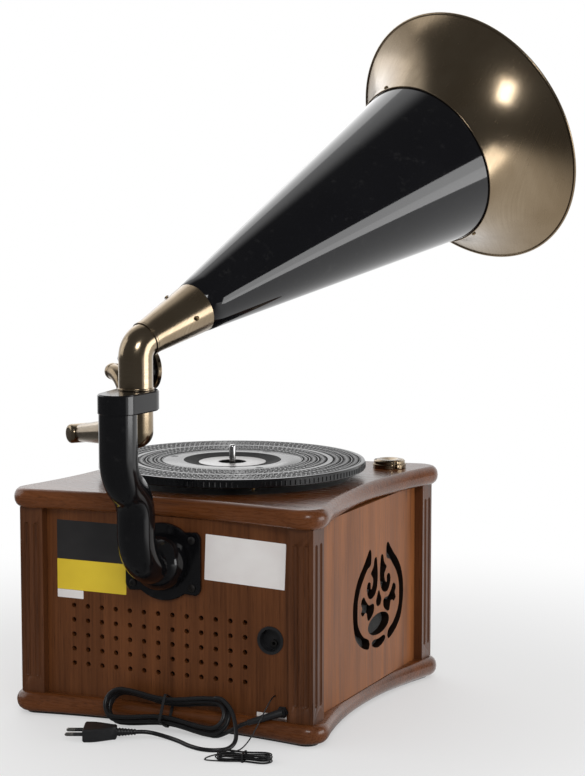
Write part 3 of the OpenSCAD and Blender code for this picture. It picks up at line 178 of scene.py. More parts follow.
class Finish(Nodes):
    def __init__(self, name, fixed):
        finish[name] = material = bpy.data.materials.new(name)
        material.use_nodes = True
        super().__init__(material.node_tree)
        self.shader = self.tree.nodes["Principled BSDF"]
        for key, value in fixed.items():
            self.shader.inputs[key].default_value = value
        self.place = self.add("ShaderNodeTexCoord", out=3)

    def mapped(self, scale, turn=(0, 0, 0), shift=(0, 0, 0)):
        turned = tuple(rad(a) for a in turn)
        first = self.add("ShaderNodeMapping", {}, {"Vector": self.place, "Rotation": turned, "Location": shift})
        return self.add("ShaderNodeMapping", {}, {"Vector": first, "Scale": scale})

    def noise(self, scale, turn=(0, 0, 0), detail=4.0, rough=0.55, distortion=0.0, shift=(0, 0, 0)):
        scale = scale if isinstance(scale, tuple) else (scale, scale, scale)
        return self.add("ShaderNodeTexNoise", {}, {"Vector": self.mapped(scale, turn, shift), "Scale": 1.0,
                                                   "Detail": detail, "Roughness": rough, "Distortion": distortion})

    def between(self, value, low, high, start=0.0, end=1.0):
        return self.add("ShaderNodeMapRange", {}, (value, low, high, start, end))

    def mix(self, factor, *pair):
        a, b = ((*c, 1) if isinstance(c, tuple) else c for c in pair)
        return self.add("ShaderNodeMix", {"data_type": "RGBA"}, {0: factor, 6: a, 7: b}, 2)

    def feed(self, roughness, colour=None):
        self.tree.links.new(roughness.link, self.shader.inputs["Roughness"])
        if colour:
            self.tree.links.new(colour.link, self.shader.inputs["Base Color"])

    def bump(self, height, strength, distance):
        relief = {"Strength": strength, "Distance": distance * mm, "Height": height}
        normal = self.add("ShaderNodeBump", {}, relief)
        self.tree.links.new(normal.link, self.shader.inputs["Normal"])


def scaled(colour, k):
    return tuple(k * c for c in colour)


# finishes
def woodFinish(name, dark, light, along, gloss, coat, level=0.3):
    f = Finish(name, {"Coat Weight": coat, "Coat Roughness": 0.13, "Specular IOR Level": level})

    def grain(across, down, detail, rough, distortion, shift=(0, 0, 0)):      # noise drawn out along the boards
        scale = tuple(down if axis == along else across for axis in range(3))
        return f.noise(scale, (0, 0, 0), detail, rough, distortion, shift)
    bands = grain(34, 2.2, 3.0, 0.5, 0.9)
    fibres = grain(420, 9, 5.0, 0.62, 0.25, (0.3, 0.1, 0.7))
    pores = f.between(grain(1350, 34, 2.0, 0.5, 0.0, (0.9, 0.4, 0.2)), 0.60, 0.70)
    stains = f.noise(7, detail=2.0, rough=0.5)
    figure = f.between(bands * 0.55 + fibres * 0.45 + stains * 0.18, 0.34, 0.78)
    middle = tuple(0.5 * a + 0.5 * b for a, b in zip(dark, light))
    colour = f.add("ShaderNodeValToRGB", {"stops": [(0.0, dark), (0.45, middle), (1.0, light)]}, (figure,))
    f.feed(f.between(fibres, 0.3, 0.7, gloss - 0.05, gloss + 0.09), f.mix(pores * 0.55, colour, scaled(dark, 0.35)))
    f.bump(figure * 0.25 + pores * -0.5 + fibres * 0.5, 0.35, 0.16)


def metalFinish(name, colour, rough, lines, turn=(0, 0, 0), shade=0.55, wear=0.16, lift=0.05, clouds=9, streak=0.55):
    f = Finish(name, {"Metallic": 1.0})
    brushed = f.noise(lines, turn, 3.0, 0.6)
    patches = f.noise(clouds, turn, 4.0, 0.6, 0.6)
    specks = f.between(f.noise(190, turn, 3.0, 0.6), 0.56, 0.74)
    aged = tuple(shade * c * k for c, k in zip(colour, (1.0, 0.93, 0.84)))
    tone = f.mix(f.between(patches, 0.36, 0.66), colour, aged)
    streaked = f.mix(f.between(brushed, 0.38, 0.62, 0.0, streak), tone, aged)
    sheen = f.between(brushed * 0.6 + patches * 0.4, 0.32, 0.68, rough - 0.05, rough + 0.09)
    f.feed(sheen + specks * wear * 0.6, f.mix(specks * wear, streaked, scaled(aged, 0.3)))
    f.bump(brushed, 0.22, lift)


def plasticFinish(name, colour, rough, grain, depth, patch=0.25, level=0.5):
    f = Finish(name, {"Coat Weight": 0.0, "Coat Roughness": 0.04, "Specular IOR Level": level})
    fine = f.noise(grain, detail=3.0)
    broad = f.noise(14, detail=3.0, distortion=0.4)
    dust = f.between(f.noise(75, detail=5.0, rough=0.7), 0.58, 0.8)
    pale = tuple(min(1.0, c * 1.25 + 0.004) for c in colour)
    tone = f.mix(f.between(broad, 0.35, 0.65, 0.0, patch * 2), colour, pale)
    sheen = f.between(broad * 0.5 + fine * 0.5, 0.35, 0.65, rough * 0.88, rough * 1.14)
    f.feed(sheen + dust * 0.05, f.mix(dust * 0.05, tone, (0.32, 0.31, 0.30)))
    f.bump(fine + broad * 0.6, 0.25, depth)


def paperFinish(name, colour, fade):
    f = Finish(name, {"Specular IOR Level": 0.35, "Coat Weight": 0.12, "Coat Roughness": 0.3})
    pulp = f.noise(1400, detail=2.0)
    wave = f.noise((22, 22, 30), detail=2.0)
    f.feed(f.between(pulp, 0.3, 0.7, 0.42, 0.58), f.mix(f.between(wave * 0.7 + pulp * 0.3, 0.35, 0.7), colour, fade))
    f.bump(pulp * 0.2 + wave, 0.3, 0.12)


def fabricFinish(name, colour, thread, fuzz):
    f = Finish(name, {"Specular IOR Level": 0.2, "Sheen Weight": 0.25})
    warp, weft = (f.add("ShaderNodeTexWave", {"bands_direction": way},
                        {"Vector": f.mapped((thread, thread, thread)), "Scale": 1.0}) for way in "YZ")
    loose = f.noise(fuzz, detail=4.0)
    weave = warp * weft * 0.7 + loose * 0.5
    f.feed(f.between(loose, 0.3, 0.7, 0.85, 0.98), f.mix(weave, colour, tuple(c * 2.6 + 0.01 for c in colour)))
    f.bump(weave, 0.5, 0.25)


def clearFinish(name):
    f = Finish(name, {"Transmission Weight": 0.9, "IOR": 1.49, "Alpha": 0.55, "Base Color": (0.86, 0.92, 0.92, 1)})
    smear = f.noise(40, detail=3.0)
    f.feed(f.between(smear, 0.4, 0.7, 0.03, 0.10))
    f.bump(smear, 0.1, 0.02)


brassTone = (0.37, 0.295, 0.205)
hornTurn = (0, -68, 110.4)       # turns the horn's axis onto Z for its brushed rings
armTurn = (0, 0, -54.5)          # turns the parked arm onto an axis
brassLook = {"shade": 0.6, "wear": 0.05, "lift": 0.015, "clouds": 6, "streak": 0.3}
woodFinish("backWood", (0.040, 0.0118, 0.0034), (0.175, 0.058, 0.0170), 2, 0.42, 0.0, 0.2)
woodFinish("sideWood", (0.088, 0.0270, 0.0075), (0.330, 0.118, 0.036), 2, 0.42, 0.0, 0.2)
woodFinish("frontWood", (0.062, 0.0210, 0.0075), (0.240, 0.094, 0.038), 0, 0.36, 0.1)
woodFinish("postWood", (0.034, 0.0104, 0.0034), (0.132, 0.045, 0.0150), 2, 0.38, 0.05, 0.25)
woodFinish("trimWood", (0.046, 0.0125, 0.0032), (0.175, 0.055, 0.0150), 0, 0.26, 0.35, 0.25)
# cutWood: near-black wood, painted shade for the walls of the grille cut-outs
woodFinish("cutWood", (0.006, 0.003, 0.002), (0.016, 0.008, 0.005), 2, 0.6, 0.0, 0.1)
woodFinish("plainWood", (0.30, 0.19, 0.11), (0.52, 0.38, 0.25), 0, 0.6, 0.0)
metalFinish("hornBrass", brassTone, 0.20, (18, 18, 1900), hornTurn, 0.6, 0.06, 0.03, 5, 0.4)
metalFinish("brass", brassTone, 0.18, (60, 60, 1500), **brassLook)
metalFinish("armBrass", brassTone, 0.18, (500, 30, 500), armTurn, **brassLook)
metalFinish("oldBrass", (0.30, 0.21, 0.11), 0.34, 500)
metalFinish("bronze", (0.50, 0.33, 0.16), 0.33, (90, 90, 1200), wear=0.1)
metalFinish("steel", (0.62, 0.63, 0.65), 0.16, (300, 300, 1800), shade=0.8, wear=0.08, lift=0.02)
metalFinish("discSteel", (0.40, 0.405, 0.42), 0.33, (420, 420, 60), shade=0.75, wear=0.1)
metalFinish("plate", (0.50, 0.51, 0.53), 0.36, (30, 1300, 400), shade=0.8, wear=0.12)
metalFinish("grey", (0.11, 0.11, 0.115), 0.45, 700, shade=0.8, wear=0.1)
metalFinish("pinSteel", (0.50, 0.50, 0.49), 0.22, 200, shade=0.8, wear=0.08, lift=0.02)
plasticFinish("enamel", (0.0030, 0.0030, 0.0042), 0.06, 260, 0.004, patch=0.1)
plasticFinish("gloss", (0.0035, 0.0035, 0.0042), 0.11, 420, 0.012, patch=0.15)
plasticFinish("plastic", (0.014, 0.014, 0.0155), 0.38, 1100, 0.05)
plasticFinish("rubber", (0.016, 0.016, 0.017), 0.52, 800, 0.06, patch=0.4)
plasticFinish("dull", (0.006, 0.0058, 0.0058), 0.7, 500, 0.03, patch=0.2, level=0.15)
plasticFinish("matRubber", (0.022, 0.022, 0.023), 0.20, 700, 0.02, patch=0.2, level=0.6)
# mat's middle ring: its low roughness is a real satin gloss, its lighter colour is a painted sheen
plasticFinish("matSatin", (0.035, 0.033, 0.033), 0.17, 500, 0.008, patch=0.1)
plasticFinish("cord", (0.009, 0.009, 0.010), 0.34, 600, 0.03, patch=0.3)
plasticFinish("circuit", (0.03, 0.14, 0.05), 0.5, 300, 0.06, patch=0.6)
plasticFinish("cream", (0.70, 0.60, 0.39), 0.42, 500, 0.02)
plasticFinish("ink", (0.05, 0.035, 0.02), 0.5, 500, 0.01)
plasticFinish("red", (0.50, 0.022, 0.015), 0.32, 500, 0.02)
fabricFinish("felt", (0.022, 0.021, 0.020), 500, 900)
# dark grey speaker cloth, darkened further to near-black: partly its own colour, partly painted shade behind the grille
fabricFinish("cloth", (0.005, 0.0045, 0.004), 2600, 1500)
clearFinish("clear")
paperFinish("whitePaper", (0.86, 0.83, 0.81), (0.78, 0.73, 0.71))
paperFinish("yellowPaper", (0.83, 0.60, 0.028), (0.74, 0.52, 0.022))
paperFinish("blackPaper", (0.022, 0.021, 0.022), (0.034, 0.032, 0.032))
print("finishes made:", len(finish))


# making shapes: every piece is closed shells of points, placed in its mesh
def spokes(sides):
    return [(math.cos(2 * math.pi * k / sides), math.sin(2 * math.pi * k / sides)) for k in range(sides)]


def arc(centre, r, a0, a1, n):
    angles = [a0 + (a1 - a0) * k / n for k in range(n + 1)]
    return [(centre[0] + r * cosine(a), centre[1] + r * sine(a)) for a in angles]


def rod(r, low, high):            # profile of a plain round bar
    return [(0, low), (r, low), (r, high), (0, high)]


class Shape:
    def __init__(self, place=None):
        self.points, self.faces, self.place = [], [], place or Matrix()

    def shell(self, points, faces, place=None):
        start, put = len(self.points), self.place @ (place or Matrix())
        self.points += [put @ Vector(p) for p in points]
        self.faces += [[start + i for i in face] for face in faces]

    def lathe(self, profile, sides=96, place=None, ring=False):       # profile of (radius, height); ring joins its ends
        points, rows, faces = [], [], []
        for r, z in profile:
            if r < 1e-6:
                rows.append([len(points)] * sides)
                points.append((0, 0, z))
            else:
                rows.append(list(range(len(points), len(points) + sides)))
                points += [(r * c, r * s, z) for c, s in spokes(sides)]
        for a, b in list(zip(rows, rows[1:])) + ([(rows[-1], rows[0])] if ring else []):
            for k in range(sides):
                n = (k + 1) % sides
                face = list(dict.fromkeys((a[k], a[n], b[n], b[k])))
                if len(face) > 2:
                    faces.append(face)
        self.shell(points, faces, place)

    def ring(self, profile, sides=96, place=None):
        self.lathe(profile, sides, place, True)

    def sweep(self, line, radius, sides, first=(0, 0, 1)):            # round tube along a line, closed at both ends
        line = [Vector(p) for p in line]
        points, faces, side = [], [], Vector(first)
        for i, p in enumerate(line):
            t = (line[min(i + 1, len(line) - 1)] - line[max(i - 1, 0)]).normalized()
            side = (side - side.dot(t) * t).normalized()
            other = t.cross(side)
            points += [p + radius * (c * side + s * other) for c, s in spokes(sides)]
        for i in range(len(line) - 1):
            for k in range(sides):
                a, b = i * sides + k, i * sides + (k + 1) % sides
                faces.append([a, b, b + sides, a + sides])
        last = (len(line) - 1) * sides
        faces += [list(range(sides))[::-1], [last + k for k in range(sides)]]
        self.shell(points, faces)

    def prism(self, outline, low, high, edge=0.0, place=None):        # flat outline with its two rims eased by edge
        n = len(outline)

        def drawnIn(by):
            ring = []
            for i, p in enumerate(outline):
                d = (Vector(outline[(i + 1) % n]) - Vector(outline[i - 1])).normalized()
                ring.append((p[0] - d[1] * by, p[1] + d[0] * by))
            return ring
        levels = [(low, edge), (low + edge, 0), (high - edge, 0), (high, edge)] if edge else [(low, 0), (high, 0)]
        points = [(q[0], q[1], z) for z, by in levels for q in drawnIn(by)]
        faces = [[j * n + i, j * n + (i + 1) % n, (j + 1) * n + (i + 1) % n, (j + 1) * n + i]
                 for j in range(len(levels) - 1) for i in range(n)]
        faces += [list(range(n))[::-1], [(len(levels) - 1) * n + i for i in range(n)]]
        self.shell(points, faces, place)

    def mesh(self, name):
        return meshOf(name, self.points, self.faces)

    def make(self, name, look, body, stands=(), angle=38, slot=None):
        return placed(name, self.mesh(name), look, body, stands, angle, True)


def opened(*meshes):
    work = bmesh.new()
    for mesh in meshes:
        work.from_mesh(mesh)
    return work


def closed(work, mesh):
    work.to_mesh(mesh)
    work.free()
    return mesh


def welded(mesh, outward):
    work = opened(mesh)
    bmesh.ops.remove_doubles(work, verts=work.verts, dist=1e-7)
    if outward:
        bmesh.ops.recalc_face_normals(work, faces=work.faces)
    return closed(work, mesh)


def placed(name, mesh, look, body, stands=(), angle=38, outward=False):
    welded(mesh, outward)
    mesh.polygons.foreach_set("use_smooth", [True] * len(mesh.polygons))
    mesh.set_sharp_from_angle(angle=rad(angle))
    mesh.materials.clear()
    mesh.materials.append(finish[look])
    piece = added(name, mesh)
    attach(piece, body)
    if stands:
        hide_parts(*stands)
    return piece


def refilled(work):      # a board's flat faces are filled again inside their own outlines
    work.normal_update()
    levels = {}
    for face in work.faces:
        if abs(face.normal.z) > 0.99:
            levels.setdefault(round(face.verts[0].co.z, 5), []).append(face)
    for flat in levels.values():
        bmesh.ops.delete(work, geom=flat, context="FACES_ONLY")
        bmesh.ops.delete(work, geom=[e for e in work.edges if not e.link_faces], context="EDGES")
        rim = [e for e in work.edges if len(e.link_faces) == 1]
        bmesh.ops.triangle_fill(work, use_beauty=True, edges=rim, normal=(0, 0, 1))
    bmesh.ops.delete(work, geom=[v for v in work.verts if not v.link_faces], context="VERTS")
    bmesh.ops.recalc_face_normals(work, faces=work.faces)


skin = {"weld": 2e-6, "flat": 0.6, "corner": 50, "wide": 0.006, "level": 0.99999}
carved = {"facing": 0.45, "y": 0.12, "low": 0.045, "high": 0.215}      # where a side panel's grille is cut


def dress(look, names, angle=40, bevel=0.0, wallShade=None, refill=False):
    # smooth-shaded copies of the plain solids, their edges eased by bevel mm
    for name in names.split():
        mesh = frame["nodes"][name].data.copy()
        work = opened(mesh)
        bmesh.ops.remove_doubles(work, verts=work.verts, dist=skin["weld"])
        if refill:
            refilled(work)
        else:
            bmesh.ops.dissolve_limit(work, angle_limit=rad(skin["flat"]), verts=work.verts, edges=work.edges)
        if bevel:
            crisp = [e for e in work.edges if len(e.link_faces) == 2 and e.calc_face_angle(0) > rad(skin["corner"])]
            bmesh.ops.bevel(work, geom=crisp, offset=bevel * mm, segments=2, profile=0.6, affect="EDGES",
                            clamp_overlap=True)
        closed(work, mesh)
        piece = placed(name.title().replace("_", "") + "Skin", mesh, look, bodyOf[name], (name,), angle)
        rims = {}
        for face in mesh.polygons:
            wide = face.area > skin["wide"] or abs(face.normal.z) > skin["level"]
            for key in face.edge_keys:
                rims.setdefault(key, set()).add(wide)
        for edge in mesh.edges:          # the rims of wide flat faces stay crisp, so that they shade flat
            if len(rims[edge.key]) == 2:
                edge.use_edge_sharp = True
        # the grille's cut walls get the near-black wood: painted shade in the cut-outs
        if wallShade:
            piece.data.materials.append(finish[wallShade])
            for face in mesh.polygons:
                inside = abs(face.center.y) < carved["y"] and carved["low"] < face.center.z < carved["high"]
                if inside and abs(face.normal.x) < carved["facing"]:
                    face.material_index = 1


# cords first: the same routes as the solids, drawn finer
lead = {"thick": 4.5, "middle": (-8, 178.5, 23.3), "lean": 60.8, "run": 110, "wide": 18.5, "step": 5, "rise": 5.1,
        "waist": 6, "loops": 3.75, "layer": 1, "start": 0.4, "plug": (28, 222, 7), "plugTurn": 24.3, "relief": 20,
        "out": [(-103.8, 178.68, 20.94), (-100.5, 180.07, 19.83), (-95, 182, 17), (-87, 183, 12), (-77, 182, 6.5),
                (-70, 180, 3.4), (-66, 179.2, 2.6)],
        "back": [(-68, 178, 43.4), (-76, 179, 42), (-88, 184, 33), (-97, 193, 19), (-102, 204, 8), (-100, 216, 3),
                 (-91, 226, 2.4), (-76, 229, 2.4), (-58, 223, 2.4), (-40, 212, 2.4), (-24, 206, 3.2),
                 (-8, 206, 5.5), (1, 209.8, 7)]}
aerial = {"thick": 1.4, "middle": (-130, 241.5, 1.3), "turn": 191, "run": 40, "wide": 10, "step": 2.1, "rise": 2.1,
          "waist": 3, "loops": 7.75, "layer": 2, "start": 0,
          "out": [(-126.8, 160, 47.8), (-126.8, 165, 47.6), (-126, 171, 44), (-123, 179, 34), (-119, 189, 20),
                  (-115, 200, 8), (-111, 211, 1.8), (-105, 222, 1), (-97.5, 232, 1), (-92.5, 243, 1),
                  (-91.5, 252, 1), (-95, 257.5, 1.1)]}


def hankPoint(u, s):               # point of a hank after u loops
    t, layer = u - math.floor(u), math.floor(u / s["layer"])
    v = u / s["layer"] - layer
    a = s["wide"] - s["step"] * s["layer"] * (v if layer % 2 == 0 else 1 - v)
    climb = 4 * t if v * s["layer"] < 0.25 else 1
    if t < 0.25:
        x, y = s["run"] * (4 * t - 0.5), -a
    elif t < 0.5:
        x, y = s["run"] / 2 + a * cosine(720 * t - 270), a * sine(720 * t - 270)
    elif t < 0.75:
        x, y = s["run"] * (2.5 - 4 * t), a
    else:
        x, y = -s["run"] / 2 + a * cosine(720 * t - 450), a * sine(720 * t - 450)
    nip = s["waist"] * cosine(180 * x / s["run"]) ** 2 if abs(x) < s["run"] / 2 else 0
    z = s["rise"] * (-s["start"] * (1 - climb) if layer == 0 else layer - 1 + climb)
    return Vector((x, y - nip if y > 0 else y + nip, z))


def hankLine(s, steps=40):
    return [hankPoint(min(i / steps, s["loops"] - 0.0001), s) for i in range(round(steps * s["loops"]) + 1)]


def smoothRoute(points, steps=8):
    p = [Vector(q) for q in points]
    line = []
    for i in range(len(p) - 1):
        a, b, c, d = p[max(i - 1, 0)], p[i], p[i + 1], p[min(i + 2, len(p) - 1)]
        for k in range(steps + (i == len(p) - 2)):
            t = k / steps
            bent = (2 * a - 5 * b + 4 * c - d) * t * t + (3 * b - a - 3 * c + d) * t ** 3
            line.append(0.5 * (2 * b + (c - a) * t + bent))
    return line


def stepFrom(end, other):          # a point just outside the end of a hank, in line with it
    return end + 1.5 * (end - other).normalized()


def leaned(p, a):
    return Vector((p[0], -p[1] * cosine(a) + p[2] * sine(a), p[1] * sine(a) + p[2] * cosine(a)))


def cordPiece(name, line, thick, stands, sides):
    cord = Shape()
    cord.sweep(line, thick / 2, sides)
    piece = cord.make(name, "cord", "cabinet", stands, 60)
    return piece, [p * mm for p in line], sum((b - a).length for a, b in zip(line, line[1:])) * mm


def intoHank(out, hank):
    return smoothRoute(out + [stepFrom(hank[0], hank[1]), hank[0]])[:-1] + hank


halfStack = Vector((0, 0, 1.5 * lead["rise"]))
leadHank = [Vector(lead["middle"]) + leaned(p - halfStack, lead["lean"]) for p in hankLine(lead)]
plugAxis = Vector((cosine(lead["plugTurn"]), sine(lead["plugTurn"]), 0))
plugIn = Vector(lead["plug"]) - lead["relief"] * plugAxis
leadLine = intoHank(lead["out"], leadHank)
leadLine += smoothRoute([leadHank[-1], stepFrom(leadHank[-1], leadHank[-2])] + lead["back"] + [plugIn])[1:]
mainsLead, leadPath, leadLength = cordPiece("mainsLead", leadLine, lead["thick"], ("mains_cord", "mains_hank"), 14)
aerialHank = [Vector(aerial["middle"]) + turnZ(aerial["turn"]) @ p for p in hankLine(aerial)]
aerialLead, aerialPath, aerialLength = cordPiece("aerialLead", intoHank(aerial["out"], aerialHank), aerial["thick"],
                                                 ("antenna_wire", "antenna_hank"), 8)

# flat two-pin plug with a ribbed strain relief
plug = {"long": 35, "half": 17.65, "tall": 13.7, "edge": 1.6, "pin": 2, "pinLong": 19, "pinGap": 18, "sleeve": 10.5,
        "ribs": 6, "ribPitch": 3.2, "ribR": 3.05, "ribGrow": 0.27}
plugPlace = move(*lead["plug"]) @ turnZ(lead["plugTurn"])
body = Shape(plugPlace)
w = plug["half"]
half = [(0, 6), (3, 7.2), (6, 8.8), (10, 10.8), (14, 13), (18, 15), (22, w - 1), (25, w - 0.3), (28, w), (33.4, w),
        (plug["long"], w - 1.4)]
body.prism([(x, -y) for x, y in half] + half[::-1], -plug["tall"] / 2, plug["tall"] / 2, plug["edge"])
relief = [(0, -lead["relief"] - 0.4)]
for k in range(plug["ribs"]):
    z = -lead["relief"] + k * plug["ribPitch"]
    r = plug["ribR"] + k * plug["ribGrow"]
    relief += [(r - 0.5, z), (r, z + 0.35), (r + 0.1, z + 1.9), (r - 0.45, z + 2.3), (r - 0.45, z + 3.0)]
body.lathe(relief + [(4.6, 0), (4.6, 2), (0, 2)], 28, turnY(90))
pins = Shape(plugPlace)
bar, start, end = plug["pin"], plug["sleeve"], plug["pinLong"]
for s in (-1, 1):                  # dark sleeves on the roots of the bare pins
    place = move(plug["long"] - 1, s * plug["pinGap"] / 2, 0) @ turnY(90)
    body.lathe(rod(bar, 0, start + 0.3), 28, place)
    pins.lathe([(0, start), (bar, start), (bar, end - 1), (bar - 0.4, end + 0.3), (bar - 1, end + 1), (0, end + 1)],
               28, place)
mainsPlugBody = body.make("mainsPlugBody", "plastic", "cabinet", ("mains_plug",), 40)
mainsPlugPins = pins.make("mainsPlugPins", "pinSteel", "cabinet", angle=50, slot="bush_bronze")
print("cords: lead %.3f m, aerial %.3f m" % (leadLength, aerialLength))


# geometry nodes: trees with named inputs, turned into plain meshes
class Field(Nodes):
    def __init__(self, name, inputs):
        super().__init__(bpy.data.node_groups.new(name, "GeometryNodeTree"))
        kinds = {int: "NodeSocketInt", float: "NodeSocketFloat", str: "NodeSocketObject"}
        self.socket("Geometry", "NodeSocketGeometry")
        self.socket("Look", "NodeSocketMaterial")
        for key, value in inputs.items():
            item = self.socket(key, kinds[type(value)])
            if not isinstance(value, str):
                item.default_value = value
        self.socket("Geometry", "NodeSocketGeometry", "OUTPUT")
        self.entry = self.tree.nodes.new("NodeGroupInput")
        self.inputs = {key: Socket(self, self.entry.outputs[key]) for key in ["Geometry", "Look", *inputs]}

    def socket(self, name, kind, way="INPUT"):
        return self.tree.interface.new_socket(name, in_out=way, socket_type=kind)

    def close(self, geometry):
        real = self.add("GeometryNodeRealizeInstances", {}, {"Geometry": geometry})
        dressed = self.add("GeometryNodeSetMaterial", {}, {"Geometry": real, "Material": self.inputs["Look"]})
        end = self.tree.nodes.new("NodeGroupOutput")
        self.tree.links.new(dressed.link, end.inputs[0])
        return self.tree

    def vector(self, x, y, z):
        return self.add("ShaderNodeCombineXYZ", {}, (x, y, z))

    def copies(self, points, instance, facing):
        values = {"Points": points, "Instance": instance, "Rotation": facing}
        return self.add("GeometryNodeInstanceOnPoints", {}, values)


def settled(item):        # the mesh that an object's modifiers make; they are taken off again
    item.update_tag()
    bpy.context.view_layer.update()
    mesh = bpy.data.meshes.new_from_object(item.evaluated_get(bpy.context.evaluated_depsgraph_get()))
    item.modifiers.clear()
    return mesh


def grown(name, tree, look, settings, start=None):
    seed = added(name, meshOf(name, [(0, 0, 0)]) if start is None else start)
    modifier = seed.modifiers.new("grow", "NODES")
    modifier.node_group = tree
    given = {**settings, "Look": finish[look]}
    for item in tree.interface.items_tree:
        if item.in_out == "INPUT" and item.name in given:
            modifier[item.identifier] = given[item.name]
    result = settled(seed)
    bpy.data.objects.remove(seed)
    return result


def movedMesh(mesh, place):
    matrix = place.copy()
    matrix.translation = matrix.translation * mm
    mesh.transform(matrix)
    return mesh


# a ring of count little blocks, such as grip ribs on a rim or a knob
def ringTree():
    f = Field("ringOfRibs", {"count": 60, "radius": 0.1, "deep": 0.001, "wide": 0.001, "tall": 0.01, "lift": 0.0,
                             "twist": 0.0, "corners": 10})
    i = f.inputs
    places = f.add("GeometryNodeMeshCircle", {"fill_type": "NONE"}, {"Vertices": i["count"], "Radius": i["radius"]})
    block = f.add("GeometryNodeMeshCylinder", {},
                  {"Vertices": i["corners"], "Side Segments": 1, "Radius": 0.5, "Depth": 1.0})
    sized = f.add("GeometryNodeTransform", {}, {
        "Geometry": block, "Scale": f.vector(i["deep"], i["wide"], i["tall"]),
        "Rotation": f.vector(0.0, 0.0, i["twist"]), "Translation": f.vector(0.0, 0.0, i["lift"])})
    step = f.add("GeometryNodeInputIndex") * (2 * math.pi)
    facing = f.add("FunctionNodeEulerToRotation", {}, (f.vector(0.0, 0.0, step / i["count"]),))
    return f.close(f.copies(places, sized, facing))


# one template on each point, turned by the Euler angles kept on that point
def scatterTree():
    f = Field("setOnPoints", {"template": "screw"})
    aim = f.add("GeometryNodeInputNamedAttribute", {"data_type": "FLOAT_VECTOR"}, {"Name": "aim"})
    facing = f.add("FunctionNodeEulerToRotation", {}, (aim,))
    source = f.add("GeometryNodeObjectInfo", {"transform_space": "ORIGINAL"}, {"Object": f.inputs["template"]}, 4)
    return f.close(f.copies(f.inputs["Geometry"], source, facing))


# bell wall: a grid bent round the axis and drawn along a curve of three (radius, height) points
def hornTree():
    f = Field("hornWall", {"sides": 144, "rows": 40, "r0": 0.02, "z0": 0.0, "r1": 0.05, "z1": 0.1, "r2": 0.1,
                           "z2": 0.2})
    i = f.inputs
    grid = f.add("GeometryNodeMeshGrid", {},
                 {"Size X": 1.0, "Size Y": 1.0, "Vertices X": i["sides"] + 1, "Vertices Y": i["rows"]})
    spot = f.add("ShaderNodeSeparateXYZ", {}, (f.add("GeometryNodeInputPosition"),))
    along = spot.output("Y") + 0.5
    angle = (spot.output("X") + 0.5) * (2 * math.pi)
    rest = 1.0 - along

    def curve(key):
        ends = i[key + "0"] * rest * rest + i[key + "2"] * along * along
        return ends + i[key + "1"] * 2.0 * rest * along
    r = curve("r")
    spun = f.vector(r * f.maths("COSINE", angle), r * f.maths("SINE", angle), curve("z"))
    wall = f.add("GeometryNodeSetPosition", {}, {"Geometry": grid, "Position": spun})
    return f.close(f.add("GeometryNodeMergeByDistance", {}, {"Geometry": wall, "Distance": 0.000001}))


trees = {"ring": ringTree(), "scatter": scatterTree(), "horn": hornTree()}
print("node trees made")


def screwTemplate(r, h, shank, long):             # domed head with a cross recess, its seat at z = 0
    screw = Shape()
    dome = [(r, 0), (r, h * 0.25), (r * 0.94, h * 0.6), (r * 0.5, h), (0, h)]
    screw.lathe([(0, -long), (shank, -long), (shank, 0)] + dome, 24)
    bars = Shape()
    x, y = r * 0.55, r * 0.11
    for a in (0, 90):
        bars.prism([(-x, -y), (x, -y), (x, y), (-x, y)], h * 0.45, h * 1.5, 0.0, turnZ(a + 20) @ move(0, 0, 0.001 * a))
    head = added("screwTemplate", welded(screw.mesh("screwTemplate"), True))
    recess = added("crossRecess", bars.mesh("crossRecess"))
    cut = head.modifiers.new("recess", "BOOLEAN")
    cut.operation, cut.object, cut.solver, cut.use_self = "DIFFERENCE", recess, "EXACT", True
    head.data = settled(head)
    bpy.data.objects.remove(recess)
    return head


def screws(name, size, places, look, body, stands):      # places are matrices in mm
    template = screwTemplate(*size)
    points = meshOf(name, [m.translation for m in places])
    aims = points.attributes.new("aim", "FLOAT_VECTOR", "POINT")
    aims.data.foreach_set("vector", [v for m in places for v in m.to_euler()])
    heads = grown(name, trees["scatter"], look, {"template": template}, points)
    placed(name, heads, look, body, stands, 30)
    bpy.data.objects.remove(template)


# cabinet
dress("felt", "felt_strip", 32)
dress("trimWood", "plinth top_board", refill=True)
dress("plainWood", "bottom_board", 32, 0.4)
dress("postWood", "corner_posts", 36)
dress("backWood", "back_panel", 36)
dress("sideWood", "left_panel right_panel", 32, wallShade="cutWood")
dress("frontWood", "front_panel", 36)
dress("cloth", "speaker_cloths", 32)
dress("grey", "loudspeakers")
print("cabinet dressed")

# blank label places on the back
labels = {"back": 160.0, "sunk": 0.02, "thick": 0.16}


def label(name, look, middle, size, corner=0.8, lean=0.0):      # middle and size are (x, z) on the back panel
    sheet = Shape(move(middle[0], labels["back"], middle[1]) @ turnX(90) @ turnZ(lean))
    x, y = size[0] / 2 - corner, size[1] / 2 - corner
    outline = []
    for k, (sx, sy) in enumerate(((1, 1), (-1, 1), (-1, -1), (1, -1))):
        outline += arc((sx * x, sy * y), corner, 90 * k, 90 * k + 90, 3)
    sheet.prism(outline, -labels["sunk"], labels["thick"])
    sheet.make(name, look, "cabinet", angle=40, slot="dial_cream")


label("ratingPlateTop", "blackPaper", (91.9, 195.0), (85.2, 42.8))
label("ratingPlateLower", "yellowPaper", (91.9, 156.6), (85.2, 33.4))
label("ratingPlateStrip", "whitePaper", (118.4, 135.2), (32.2, 9.0), 0.5)
label("noticePlate", "whitePaper", (-92.3, 187.6), (93.4, 49.1), 0.8, 2.2)
label("smallSticker", "whitePaper", (-123.0, 25.5), (34.5, 6.0), 0.4)

